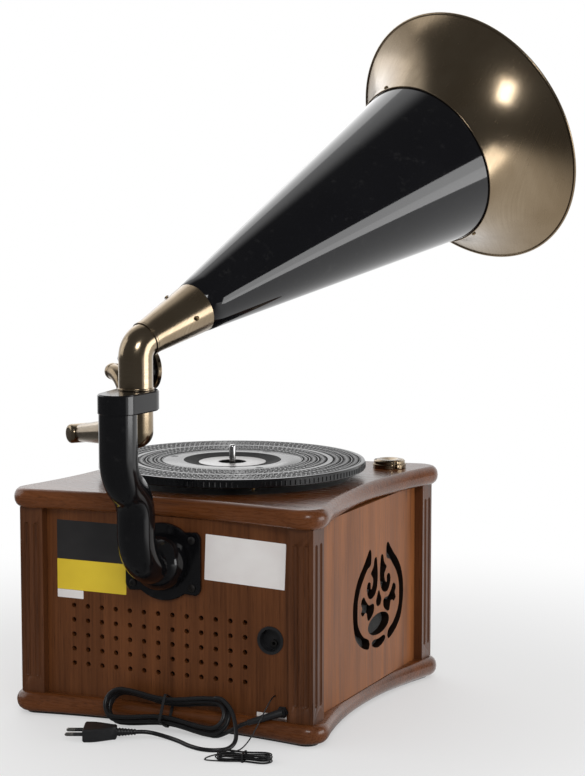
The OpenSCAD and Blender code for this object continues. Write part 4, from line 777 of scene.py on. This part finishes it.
# turntable
deck = {"top": 269.0, "r": 150.0, "bore": 4.52, "hub": 16.0, "under": 252.3, "web": 263.8, "seat": 267.8,
        "rail": (82.0, 85.0, 254.5), "lip": 54.3, "dish": 38.6, "dishZ": 265.6, "well": (14.5, 263.5),
        "edge": 9.5, "ribs": 156, "bare": 78.0, "matR": 144.6, "sides": 180,
        "rings": ((78.5, 79.1), (86.7, 87.6), (96.5, 97.4), (107.5, 113.0), (122.9, 123.8), (134.1, 135.0),
                  (143.4, 144.2)),
        "studs": ((82.9, 5.8), (92.0, 6.8), (102.4, 7.6), (118.0, 7.4), (128.9, 8.4), (139.2, 6.8)), "pitch": 6.2,
        "holes": (5, 141, 261), "holeR": 70, "pin": 4.5, "pinTop": 3.6, "pinLow": 205, "pinTall": 16.5}
z, r, seat, web, sides = pick(deck, "top r seat web sides")
bore, hub, under, lip, bare = pick(deck, "bore hub under lip bare")
(railIn, railOut, railZ), (wellR, wellZ), dish, dishZ = deck["rail"], deck["well"], deck["dish"], deck["dishZ"]
platter = Shape()
platter.ring([(bore, under), (hub, under), (hub, web), (railIn, web), (railIn, railZ), (railOut, railZ), (railOut, web),
              (r - 5, web), (r - 5, seat), (lip, seat), (lip, z - 0.3), (lip - 0.4, z), (lip - 0.8, z - 0.1),
              (dish, dishZ), (wellR, dishZ), (wellR, wellZ), (bore, wellZ)], sides)
platter.make("platterDisc", "dull", "turntable", ("platter",), 32)
edge = Shape()
low = z - deck["edge"]
edge.ring([(r - 5.1, low), (r - 1.6, low), (r - 0.9, low + 0.5), (r - 0.9, z - 0.9), (r - 1.6, z - 0.2), (r - 2.6, z),
           (r - 4.6, z), (r - 5.1, z - 0.4)], sides)
edge.make("platterEdge", "gloss", "turntable", angle=32, slot="black_plastic")
ribs = grown("platterRibs", trees["ring"], "gloss", {
    "count": deck["ribs"], "radius": (r - 1.05) * mm, "deep": 0.0021, "wide": 0.0030, "tall": 0.0052,
    "lift": (z - 5.4) * mm})
placed("platterRibs", ribs, "gloss", "turntable", (), 30)
mat = Shape()
low, high = z - 0.85, z - 0.1
mat.ring([(bare, seat), (bare, low), (deck["matR"], low), (deck["matR"], seat)], sides)
mat.make("rubberMat", "dull", "turntable", ("platter_mat",), 28)
rings = Shape()
for a, b in deck["rings"]:
    rings.ring([(a - 0.3, low - 0.05), (a, high), (b, high), (b + 0.3, low - 0.05)], sides)
rings.make("matRings", "matRubber", "turntable", angle=28, slot="rubber_black")
# middle ring of the mat, lighter in colour as a painted sheen
inner = Shape()
inner.ring([(lip + 0.3, seat), (lip + 0.3, z - 0.5), (lip + 0.6, z - 0.3), (bare - 0.6, z - 0.3), (bare, z - 0.5),
            (bare, seat)], sides)
inner.make("matMiddle", "matSatin", "turntable", angle=28, slot="rubber_black")
# dark rubber discs on the mat's middle ring stand in for its holes: painted shade
holes = Shape()
for v in deck["holes"]:
    spot = turnZ(v) @ Vector((deck["holeR"], 0, 0))
    holes.lathe([(0, z - 0.6), (4.4, z - 0.6), (4.4, z - 0.26), (4.1, z - 0.22), (3.9, z - 0.27), (0, z - 0.27)], 32,
                move(spot.x, spot.y, 0))
holes.make("matHoles", "rubber", "turntable", angle=40, slot="rubber_black")

# rings of slanted studs, each ring a zigzag of two opposite slants
zigzags = []
for middle, deep in deck["studs"]:
    count = round(2 * math.pi * middle / deck["pitch"])
    size = {"count": count, "radius": middle * mm, "deep": math.hypot(deep, deck["pitch"] / 2) * mm, "wide": 0.0021,
            "tall": 0.0009, "lift": (z - 0.5) * mm, "corners": 4}
    for side in (-1, 1):
        slant = side * math.atan(deck["pitch"] / 2 / deep)
        stud = grown("matStuds", trees["ring"], "matRubber", {**size, "twist": slant})
        zigzags.append(movedMesh(stud, turnZ(90 * (1 + side) / count)))
studs = closed(opened(*zigzags), bpy.data.meshes.new("matStuds"))
placed("matStuds", studs, "matRubber", "turntable", (), 30)
disc = Shape()
disc.ring([(15.5, dishZ), (37.4, dishZ), (37.8, dishZ + 0.2), (37.8, dishZ + 0.6), (37.2, dishZ + 0.8),
           (16, dishZ + 0.8), (15.5, dishZ + 0.5)], 120)
disc.make("hubDisc", "discSteel", "turntable", ("hub_disc",), 30)
pin = Shape()
thick, thin, low, tip = deck["pin"], deck["pinTop"], deck["pinLow"], z + deck["pinTall"]
pin.lathe([(0, low), (thick, low), (thick, wellZ), (thin, wellZ), (thin, tip - 2.4), (3.3, tip - 1.2), (2.6, tip - 0.4),
           (1.6, tip), (0, tip)], 48)
pin.make("recordSpindle", "steel", "turntable", ("spindle",), 50)
single = {"at": (-138, -130, 250), "bore": 3.7, "gaps": (13, 133, 253), "lobeIn": 14.8,
          "lobes": ((19.05, 0, 5.2, 0.5), (17.9, 4.4, 9.2, 1.0))}       # lobes of radius, low, high, edge
adapter = Shape(move(*single["at"]))
adapter.ring([(single["bore"], 0), (15.6, 0), (15.6, 8.6), (14.05, 9.9), (10.2, 10), (9.6, 9.8), (8.6, 9.5), (5.0, 8),
              (single["bore"], 8)])
for a in single["gaps"]:
    for lobe, low, high, ease in single["lobes"]:
        outline = arc((0, 0), lobe, a + 8, a + 112, 26) + arc((0, 0), single["lobeIn"], a + 110, a + 10, 22)
        adapter.prism(outline, low, high, ease)
adapter.make("recordAdapter", "brass", "adapter", ("adapter_45",), 35)
print("turntable made")

# bracket on the back: flange, boss, bent tube and clamp
bracket = {"x": 3.0, "back": 160.0, "flangeZ": 181.0, "flangeR": 42.0, "thick": 5.0, "px": 70.6, "pz": 51.0,
           "ear": 9.5, "tube": 20.0, "boss": 31.0, "bossLong": 34.0, "bend": 40.0, "lowY": 222.0, "highY": 258.2,
           "pivotY": 220.0, "sway": (56.0, 124.0), "clampZ": 350.0, "top": 371.0, "clampR": 24.0,
           "screw": (4.3, 2.1, 2.0, 3.0)}
back, foot, lowY, highY, pivotY, bend = pick(bracket, "back flangeZ lowY highY pivotY bend")
stand = Shape(move(bracket["x"], 0, 0))
facing = move(0, back, foot) @ turnX(90) @ Matrix.Diagonal((1, 1, -1, 1))
ears = [(sx * bracket["px"] / 2, sz * bracket["pz"] / 2) for sx, sz in ((1, 1), (-1, 1), (-1, -1), (1, -1))]
ear, disk = bracket["ear"], bracket["flangeR"]
plate = (arc(ears[0], ear, 0, 62, 6) + arc((0, 0), disk, 52, 128, 16) + arc(ears[1], ear, 118, 180, 6)
         + arc(ears[2], ear, 180, 242, 6) + arc((0, 0), disk, 232, 308, 16) + arc(ears[3], ear, 298, 360, 6))
stand.prism(plate, 0, bracket["thick"], 0.9, facing)
bossR, bossLong = bracket["boss"], bracket["bossLong"]
boss = [(bossR, 0)] + [(bossR * cosine(a), bossLong * sine(a)) for a in range(5, 90, 5)] + [(0, bossLong), (0, 0)]
stand.lathe(boss, 72, move(0, back + bracket["thick"], foot) @ turnX(-90))
swayLow, swayHigh = bracket["sway"]
swayA = 2 * slopeOf(highY - lowY, swayHigh - swayLow)
swayR = (highY - lowY) / (2 * (1 - cosine(swayA)))
swayTurns = [swayA * k / 14 for k in range(15)]
line = [(0, back + 7, foot)]
line += [(0, lowY - bend * (1 - sine(a)), foot + bend * (1 - cosine(a))) for a in [90 * k / 16 for k in range(17)]]
line += [(0, lowY + swayR * (1 - cosine(a)), foot + swayLow + swayR * sine(a)) for a in swayTurns]
line += [(0, highY - swayR * (1 - cosine(a)), foot + swayHigh - swayR * sine(a)) for a in swayTurns[-2::-1]]
stand.sweep(line + [(0, highY, bracket["clampZ"] + 2)], bracket["tube"], 72, (1, 0, 0))
grip = bracket["tube"] + 1
a = math.degrees(math.acos((bracket["clampR"] - grip) / (highY - pivotY)))
clampLine = arc((0, highY), grip, 90 - a, 90 + a, 28) + arc((0, pivotY), bracket["clampR"], 90 + a, 450 - a, 48)
stand.prism(clampLine, bracket["clampZ"], bracket["top"], 1.4)
stand.make("hornStand", "gloss", "cabinet", ("horn_bracket",), 42)
seat = move(bracket["x"], back + bracket["thick"] + 0.1, foot) @ turnX(-90)
screws("standScrews", bracket["screw"], [seat @ move(x, -y, 0) for x, y in ears], "grey", "cabinet",
       ("bracket_screws",))
print("bracket made")

# horn: pipe and elbow, throat, black cone, bell
horn = {"rise": 22.0, "yaw": 20.4, "low": 362.3, "bendZ": 417.0, "pipe": 17.85, "bend": 19.0, "collar": 370.9,
        "throat": (90.0, 27.6), "cone": (477.0, 95.7), "bell": (565.0, 155.5), "sheet": 1.0, "fit": 0.2, "lap": 10.0,
        "bead": 1.8, "flare": (11.0, 0.6), "sides": 144, "rows": 44, "screw": (2.6, 1.7, 1.2, 1.6), "proud": 0.3,
        "throatHeads": (22.0, (30, 150, 270)), "bellHeads": (0.06, (162, 332))}       # heads: place along, turns
bendA = 90 - horn["rise"]
bendR, bendZ, lap, sheet, fit, bead = pick(horn, "bend bendZ lap sheet fit bead")
bendT = bendR * math.tan(rad(bendA / 2))
pipePlace = move(bracket["x"], pivotY, 0) @ turnZ(-90 - horn["yaw"])
hornPlace = pipePlace @ move(0, 0, bendZ) @ turnY(bendA)
line = [(0, 0, horn["low"]), (0, 0, 370), (0, 0, bendZ - bendT - 1)]
line += [(bendR * (1 - cosine(v)), 0, bendZ - bendT + bendR * sine(v)) for v in [bendA * k / 20 for k in range(21)]]
reach = bendT + lap - 1
line.append((reach * sine(bendA), 0, bendZ + reach * cosine(bendA)))
pipe = Shape(pipePlace)
pipe.sweep(line, horn["pipe"], 72, (0, 1, 0))
r, z = horn["pipe"], horn["collar"]
pipe.ring([(r + 0.05, z), (r + 1.05, z + 0.2), (r + 1.35, z + 1.3), (r + 1.05, z + 2.3), (r + 0.05, z + 2.6)], 72)
pipe.make("hornElbow", "brass", "horn", ("horn_elbow",), 40)
(ts, tr), (cs, cr), (bs, br) = horn["throat"], horn["cone"], horn["bell"]
sleeve, neck, z = horn["pipe"] + fit + sheet, bendT + lap, bendT + 1
throat = Shape(hornPlace)
throat.ring([(sleeve - 1, z), (sleeve - 0.2, z), (sleeve, z + 0.3), (sleeve, z + 2), (sleeve - 0.25, z + 2.3),
             (sleeve, z + 2.6), (sleeve, neck), (tr - 0.25, ts - 0.5), (tr - 0.3, ts), (tr - 1, ts),
             (sleeve - 1, neck)], 120)
throat.make("hornThroat", "hornBrass", "horn", ("horn_throat",), 30)
throatK, coneK = (tr - sleeve) / (ts - neck), (cr - tr) / (cs - ts)
r0 = tr - sheet - fit
steps = [k / 24 for k in range(1, 25)]
outside = [(tr + (cr + coneK * lap - tr) * k, ts + (cs + lap - ts) * k) for k in steps]
cone = Shape(hornPlace)
cone.ring([(r0 - throatK * lap - 1, ts - lap), (r0 - throatK * lap, ts - lap), (r0, ts), (tr - 0.2, ts),
           (tr, ts + 0.25)] + outside + [(r - 1, z) for r, z in outside[::-1]] + [(r0 - 1, ts)], horn["sides"])
cone.make("hornCone", "enamel", "horn", ("horn_cone",), 30)
mouth = cr + fit + sheet + 0.1
bellSize = {"sides": horn["sides"], "rows": horn["rows"], "r0": mouth * mm, "z0": cs * mm,
            "r1": (mouth + horn["flare"][0]) * mm, "z1": (cs + horn["flare"][1] * (bs - cs)) * mm,
            "r2": (br - bead) * mm, "z2": (bs - bead) * mm}
bellMesh = grown("hornBell", trees["horn"], "hornBrass", bellSize)
shell = opened(bellMesh)
bmesh.ops.recalc_face_normals(shell, faces=shell.faces)
if sum(f.normal.z for f in shell.faces) > 0:
    bmesh.ops.reverse_faces(shell, faces=shell.faces)
bmesh.ops.solidify(shell, geom=shell.faces, thickness=sheet * mm)
placed("hornBell", movedMesh(closed(shell, bellMesh), hornPlace), "hornBrass", "horn", ("horn_bell",), 40)
rim = Shape(hornPlace)
rim.ring(arc((br - bead - 0.35, bs - bead + 0.1), bead, 0, 330, 12), horn["sides"])
rim.ring(arc((mouth + 0.1, cs + 0.7), 0.85, 0, 315, 8), horn["sides"])
rim.make("hornBeads", "hornBrass", "horn", angle=60, slot="antique_brass")


def headsOn(r, z, slope, turns):           # screw places round the horn, on its sheet
    lean = turnY(90 + math.degrees(math.atan(slope))) @ move(0, 0, horn["proud"])
    return [hornPlace @ turnZ(v) @ move(r, 0, z) @ lean for v in turns]


inset, turns = horn["throatHeads"]
places = headsOn(sleeve + throatK * (ts - inset - neck), ts - inset, throatK, turns)
t, turns = horn["bellHeads"]
a, b, c = (Vector((bellSize["r%d" % k], bellSize["z%d" % k])) / mm for k in range(3))
spot = a * (1 - t) ** 2 + b * 2 * t * (1 - t) + c * t * t
flare = (b - a) * (1 - t) + (c - b) * t
places += headsOn(spot.x, spot.y, flare.x / flare.y, turns)
screws("hornScrews", horn["screw"], places, "oldBrass", "horn", ("horn_screws",))
print("horn made")

# tonearm with gooseneck and sound box, parked beside the record
arm = {"park": 54.5, "reach": 142.0, "elbowZ": 328.0, "tipZ": 309.0, "topZ": 358.2, "root": 17.35, "tip": 9.0,
       "barrel": 10.5, "neckR": 8.5, "neckOff": 23.0, "pin": 6.0, "back": 39.0, "up": 70.0, "knee": 9.1,
       "drumLen": 23.0, "drum": 18.0, "rim": 22.0, "rimT": 5.0}
armPlace = move(bracket["x"], pivotY, 0) @ turnZ(arm["park"])
headPlace = armPlace @ move(0, -arm["reach"], arm["tipZ"])
fall = arm["elbowZ"] - arm["tipZ"]
length = math.hypot(arm["reach"], fall)
tube = Shape(armPlace)
p, top, b = horn["pipe"], arm["topZ"], arm["barrel"]
tube.lathe(arc((0, arm["elbowZ"]), p, -90, 0, 14) + [(p, top - 0.3), (p - 0.3, top), (0, top)], 72)
taper = [(arm["root"] + (arm["tip"] - arm["root"]) * k / 12, length * k / 12) for k in range(13)]
tube.lathe([(0, 0)] + taper + [(0, length)], 64, move(0, 0, arm["elbowZ"]) @ turnX(90 + slopeOf(fall, arm["reach"])))
tube.lathe([(0, 0), (b - 0.5, 0), (b, 0.5), (b, 3.2), (b - 0.5, 3.6), (b, 4.0)] + arc((b - 4, b * 2 - 1), 4, 0, 90, 8)
           + [(0, b * 2 + 3)], 64, move(-b - 1, -arm["reach"], arm["tipZ"]) @ turnY(90))
tube.make("armTube", "armBrass", "arm", ("tonearm",), 40)
dress("steel", "tonearm_stud")
side, neckR, x0, x1 = arm["neckOff"], arm["neckR"], b + 1.3, arm["neckOff"] + arm["neckR"] + 1
neckTube = Shape(headPlace)
neckTube.lathe(rod(arm["pin"], 0, x0 + 4), 40, move(-x0, 0, 0) @ turnY(90))
cap = arc((b - 4, 4), 4, 270, 360, 8) + [(b, x1 - x0 - 0.4), (b - 0.4, x1 - x0), (0, x1 - x0)]
neckTube.lathe([(0, 0)] + cap, 64, move(-x1, 0, 0) @ turnY(90))
nb = arm["up"] / 2
line = [(-side, 0, 0), (-side, 14, 0), (-side, 28, 0)]
line += [(-side, arm["back"] + nb * sine(v), nb - nb * cosine(v)) for v in [180 * k / 32 for k in range(33)]]
neckTube.sweep(line, neckR, 56, (1, 0, 0))
knee = move(-side, arm["back"], arm["up"])
neckTube.lathe([(0, -arm["knee"])] + arc((0, 0), arm["knee"], -80, 80, 16) + [(0, arm["knee"])], 56, knee)
long = neckR * 2.4
funnel = [(0, 0), (8.2, 0), (8.5, 10), (8.9, 11.5), (10.0, long - 5.2), (11.16, long - 4), (15.2, long - 1.6),
          (17, long), (0, long)]
neckTube.lathe(funnel, 64, knee @ turnY(-90))
neckTube.make("gooseneckTube", "armBrass", "head", ("gooseneck",), 40)
boxPlace = headPlace @ move(-side - long, arm["back"], arm["up"]) @ turnY(-90)
drum = Shape(boxPlace)
r, dl = arm["drum"], arm["drumLen"]
drum.lathe([(0, 0), (r - 0.8, 0), (r - 0.2, 0.25), (r, 0.8), (r, dl * 0.35), (r - 0.7, dl * 0.38), (r - 0.7, dl * 0.42),
            (r, dl * 0.45), (r, dl), (0, dl)], 80)
drum.make("soundBoxDrum", "gloss", "head", ("sound_box",), 35)
face = Shape(boxPlace @ move(0, 0, dl))
r, rt = arm["rim"], arm["rimT"]
low = rt - 1.6
face.lathe([(0, 0), (r - 0.7, 0), (r, 0.7), (r, rt - 1)] + arc((r - 1.2, rt - 1.2), 1.2, 0, 90, 5)
           + [(r - 3.4, rt), (r - 3.8, rt - 0.4), (r - 4.5, low), (12, low), (11.6, low + 0.4), (11, low + 0.4),
              (10.6, low), (9, low), (7.6, low + 1), (7, rt - 0.4), (0, rt - 0.4)], 88)
face.make("soundBoxRim", "brass", "head", ("box_rim",), 32)
# thin black tiles on the sound box face stand in for its slots: painted shade
slotShades = grown("soundBoxSlots", trees["ring"], "gloss",
              {"count": 8, "radius": 0.0145, "deep": 0.0034, "wide": 0.0022, "tall": 0.0006, "lift": 0.0})
placed("soundBoxSlots", movedMesh(slotShades, boxPlace @ move(0, 0, dl + low)), "gloss", "head", (), 40)
dress("plastic", "cartridge", 32, 0.5)
dress("red", "stylus", 40, 0.15)
print("tonearm made")

# front and inside: radio dial, knobs, buttons, disc drawer, sockets
dress("cream", "dial_plate", 32, 0.3)
dress("clear", "dial_window", 32, 0.25)
dress("steel", "dial_rail")
dress("grey", "socket_jack")
dress("red", "dial_pointer", 32, 0.15)
knob = {"r": 17.0, "long": 18.0, "x": 112.0, "front": -160.5, "z": 188.0, "shaft": 3.0, "in": 17.0, "ribs": 48}
r, t, shaft, low = knob["r"], knob["long"], knob["shaft"], -knob["in"]
capLine = [(0, low), (shaft - 0.4, low), (shaft, low + 0.4), (shaft, 0), (r - 0.6, 0), (r, 0.6), (r, 2.4), (r - 0.5, 3),
           (r - 2, 4), (r - 3.5, t - 2), (r - 3.9, t - 1.1), (r - 4.6, t - 0.3), (r - 5.5, t), (r - 7.5, t),
           (r - 8, t - 0.5), (r - 11, t - 0.7), (0, t - 0.7)]
for role, side in (("tuning", 1), ("volume", -1)):
    name = role + "KnobCap"
    place = move(side * knob["x"], knob["front"], knob["z"]) @ turnX(90)
    cap = Shape(place)
    cap.lathe(capLine, 80)
    cap.prism([(-0.6, r - 8), (0.6, r - 8), (0.6, r - 5.2), (-0.6, r - 5.2)], t - 0.6, t + 0.2, 0.08)
    cap.make(name, "brass", role, (role + "_knob",), 35)
    knurl = grown(name + "Grip", trees["ring"], "brass", {
        "count": knob["ribs"], "radius": 0.01395, "deep": 0.0011, "wide": 0.0011, "tall": 0.0088, "lift": 0.0098})
    placed(name + "Grip", movedMesh(knurl, place), "brass", role, (), 40)
dress("grey", "knob_controls")
button = {"front": -164, "z": 74, "r": 6.0, "collar": 8, "long": 15}
r, wide, end = button["r"], button["collar"], button["long"]
for role in ("power", "play", "stop", "skip"):
    low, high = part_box(role + "_button")
    key = Shape(move((low[0] + high[0]) / 2 / mm, button["front"], button["z"]) @ turnX(-90))
    key.lathe([(0, 0.5), (3.2, 0.35), (4.4, 0.1), (r - 0.9, 0), (r - 0.3, 0.3), (r, 0.9), (r, end - 1.5),
               (wide, end - 1.5), (wide, end), (0, end)], 56)
    key.make(role + "Key", "brass", role + "_key", (role + "_button",), 38)
dress("plastic", "cd_drawer", 32, 0.5)
dress("plate", "cd_mechanism motor_plate", 32)
dress("bronze", "platter_bearing motor_pulley")
dress("plate", "drive_motor")
dress("rubber", "drive_belt")
dress("grey", "transformer", 32, 0.4)
dress("circuit", "main_board")
dress("plastic", "line_socket")
dress("plastic", "cord_gland", 40, 0.2)
dress("plastic", "cord_ties")
print("front and inside dressed")

# dial scale behind the glass: long and short strokes, in rows of height, count and how often a long one comes
dial = {"z": 188.0, "y": -143.95, "half": 58.0, "rows": ((4.0, 21, 5), (-9.0, 29, 4)), "stroke": 0.3, "long": 5.0,
        "short": 2.8, "thick": 0.25}
strokes = Shape(move(0, dial["y"], 0) @ turnX(90))
for high, count, major in dial["rows"]:
    for k in range(count):
        x, z = dial["half"] * (2 * k / (count - 1) - 1), dial["z"] + high
        left, right, top = x - dial["stroke"], x + dial["stroke"], z + dial["short" if k % major else "long"]
        strokes.prism([(left, z), (right, z), (right, top), (left, top)], 0, dial["thick"])
strokes.make("dialStrokes", "ink", "cabinet", angle=40, slot="dial_cream")

# floor, backdrop and lights; the white sheet stands behind the object as seen from the camera
studio = {"fill": 0.60, "dark": 0.10, "behind": (0.409, -0.899, 0.157), "edge": (0.30, 0.62),
          "floorBehind": (-0.35, -0.94, 0), "floorEdge": (-0.2, 0.3), "floor": 6000, "floorTone": (0.82, 0.82, 0.82, 1),
          "fade": (0.35, 0.95, 0.45, 1.0), "white": (1, 1, 1, 1)}
far = studio["floor"]
corners = [(-far, -far, 0), (far, -far, 0), (far, far, 0), (-far, far, 0)]
floor = added("floor", meshOf("floor", corners, [(0, 1, 2, 3)]))
paper = bpy.data.materials.new("studioFloor")
paper.use_nodes = True
n = Nodes(paper.node_tree)
lit = n.tree.nodes["Principled BSDF"]
for key, value in {"Base Color": studio["floorTone"], "Roughness": 0.65, "Specular IOR Level": 0.15}.items():
    lit.inputs[key].default_value = value
glow = n.add("ShaderNodeEmission", {}, {"Color": studio["white"]})
path = n.add("ShaderNodeLightPath")
seen, glossy = path.output("Is Camera Ray"), path.output("Is Glossy Ray")
spot = n.add("ShaderNodeTexCoord", out=3)
away = n.add("ShaderNodeVectorMath", {"operation": "LENGTH"}, (spot,), 1)
fade = n.softStep(away, *studio["fade"])
beyond = n.softStep(n.dot(spot, studio["floorBehind"]), *studio["floorEdge"], studio["dark"], 1.0)
n.tree.links.new((1.0 - glossy * (1.0 - beyond)).link, glow.link.node.inputs["Strength"])
lit = Socket(n, lit.outputs[0])
both = n.add("ShaderNodeMixShader", {}, {0: n.maths("MAXIMUM", fade * seen, glossy), 1: lit, 2: glow})
n.tree.links.new(both.link, n.tree.nodes["Material Output"].inputs["Surface"])
floor.data.materials.append(paper)

world = bpy.data.worlds.new("studio")
scene.world = world
world.use_nodes = True
n = Nodes(world.node_tree)
path = n.add("ShaderNodeLightPath")
seen = n.maths("MAXIMUM", path.output("Is Camera Ray"), path.output("Is Transmission Ray"))
toward = n.dot(n.add("ShaderNodeTexCoord", out=0), studio["behind"])
sheetBehind = n.softStep(toward, *studio["edge"], studio["dark"], 1.0)
room = path.output("Is Glossy Ray") * (sheetBehind - studio["fill"]) + studio["fill"]
backing = world.node_tree.nodes["Background"]
n.tree.links.new((seen * (1.0 - room) + room).link, backing.inputs["Strength"])
backing.inputs["Color"].default_value = studio["white"]


def lamp(name, aim, az, el, far, size, power, sizeY=None):
    data = bpy.data.lights.new(name, "AREA")
    data.energy, data.size = power, size
    if sizeY:
        data.shape, data.size_y = "RECTANGLE", sizeY
    item = added(name, data)
    item.location = Vector(aim) + far * Vector((cosine(az) * cosine(el), sine(az) * cosine(el), sine(el)))
    item.rotation_euler = (Vector(aim) - item.location).to_track_quat("-Z", "Y").to_euler()


hornAim = (-0.1, 0.0, 0.55)
lamp("aboveCamera", hornAim, 120, 25, 2.6, 0.9, 15, 0.6)
lamp("lowRight", hornAim, 190, -4, 2.2, 1.4, 15, 0.8)
lamp("leftPanel", hornAim, 13, 16, 2.4, 1.2, 7, 1.5)
lamp("frontPanel", (0, 0, 0.3), -50, 30, 3.0, 2.0, 12)
print("stage and lights set")
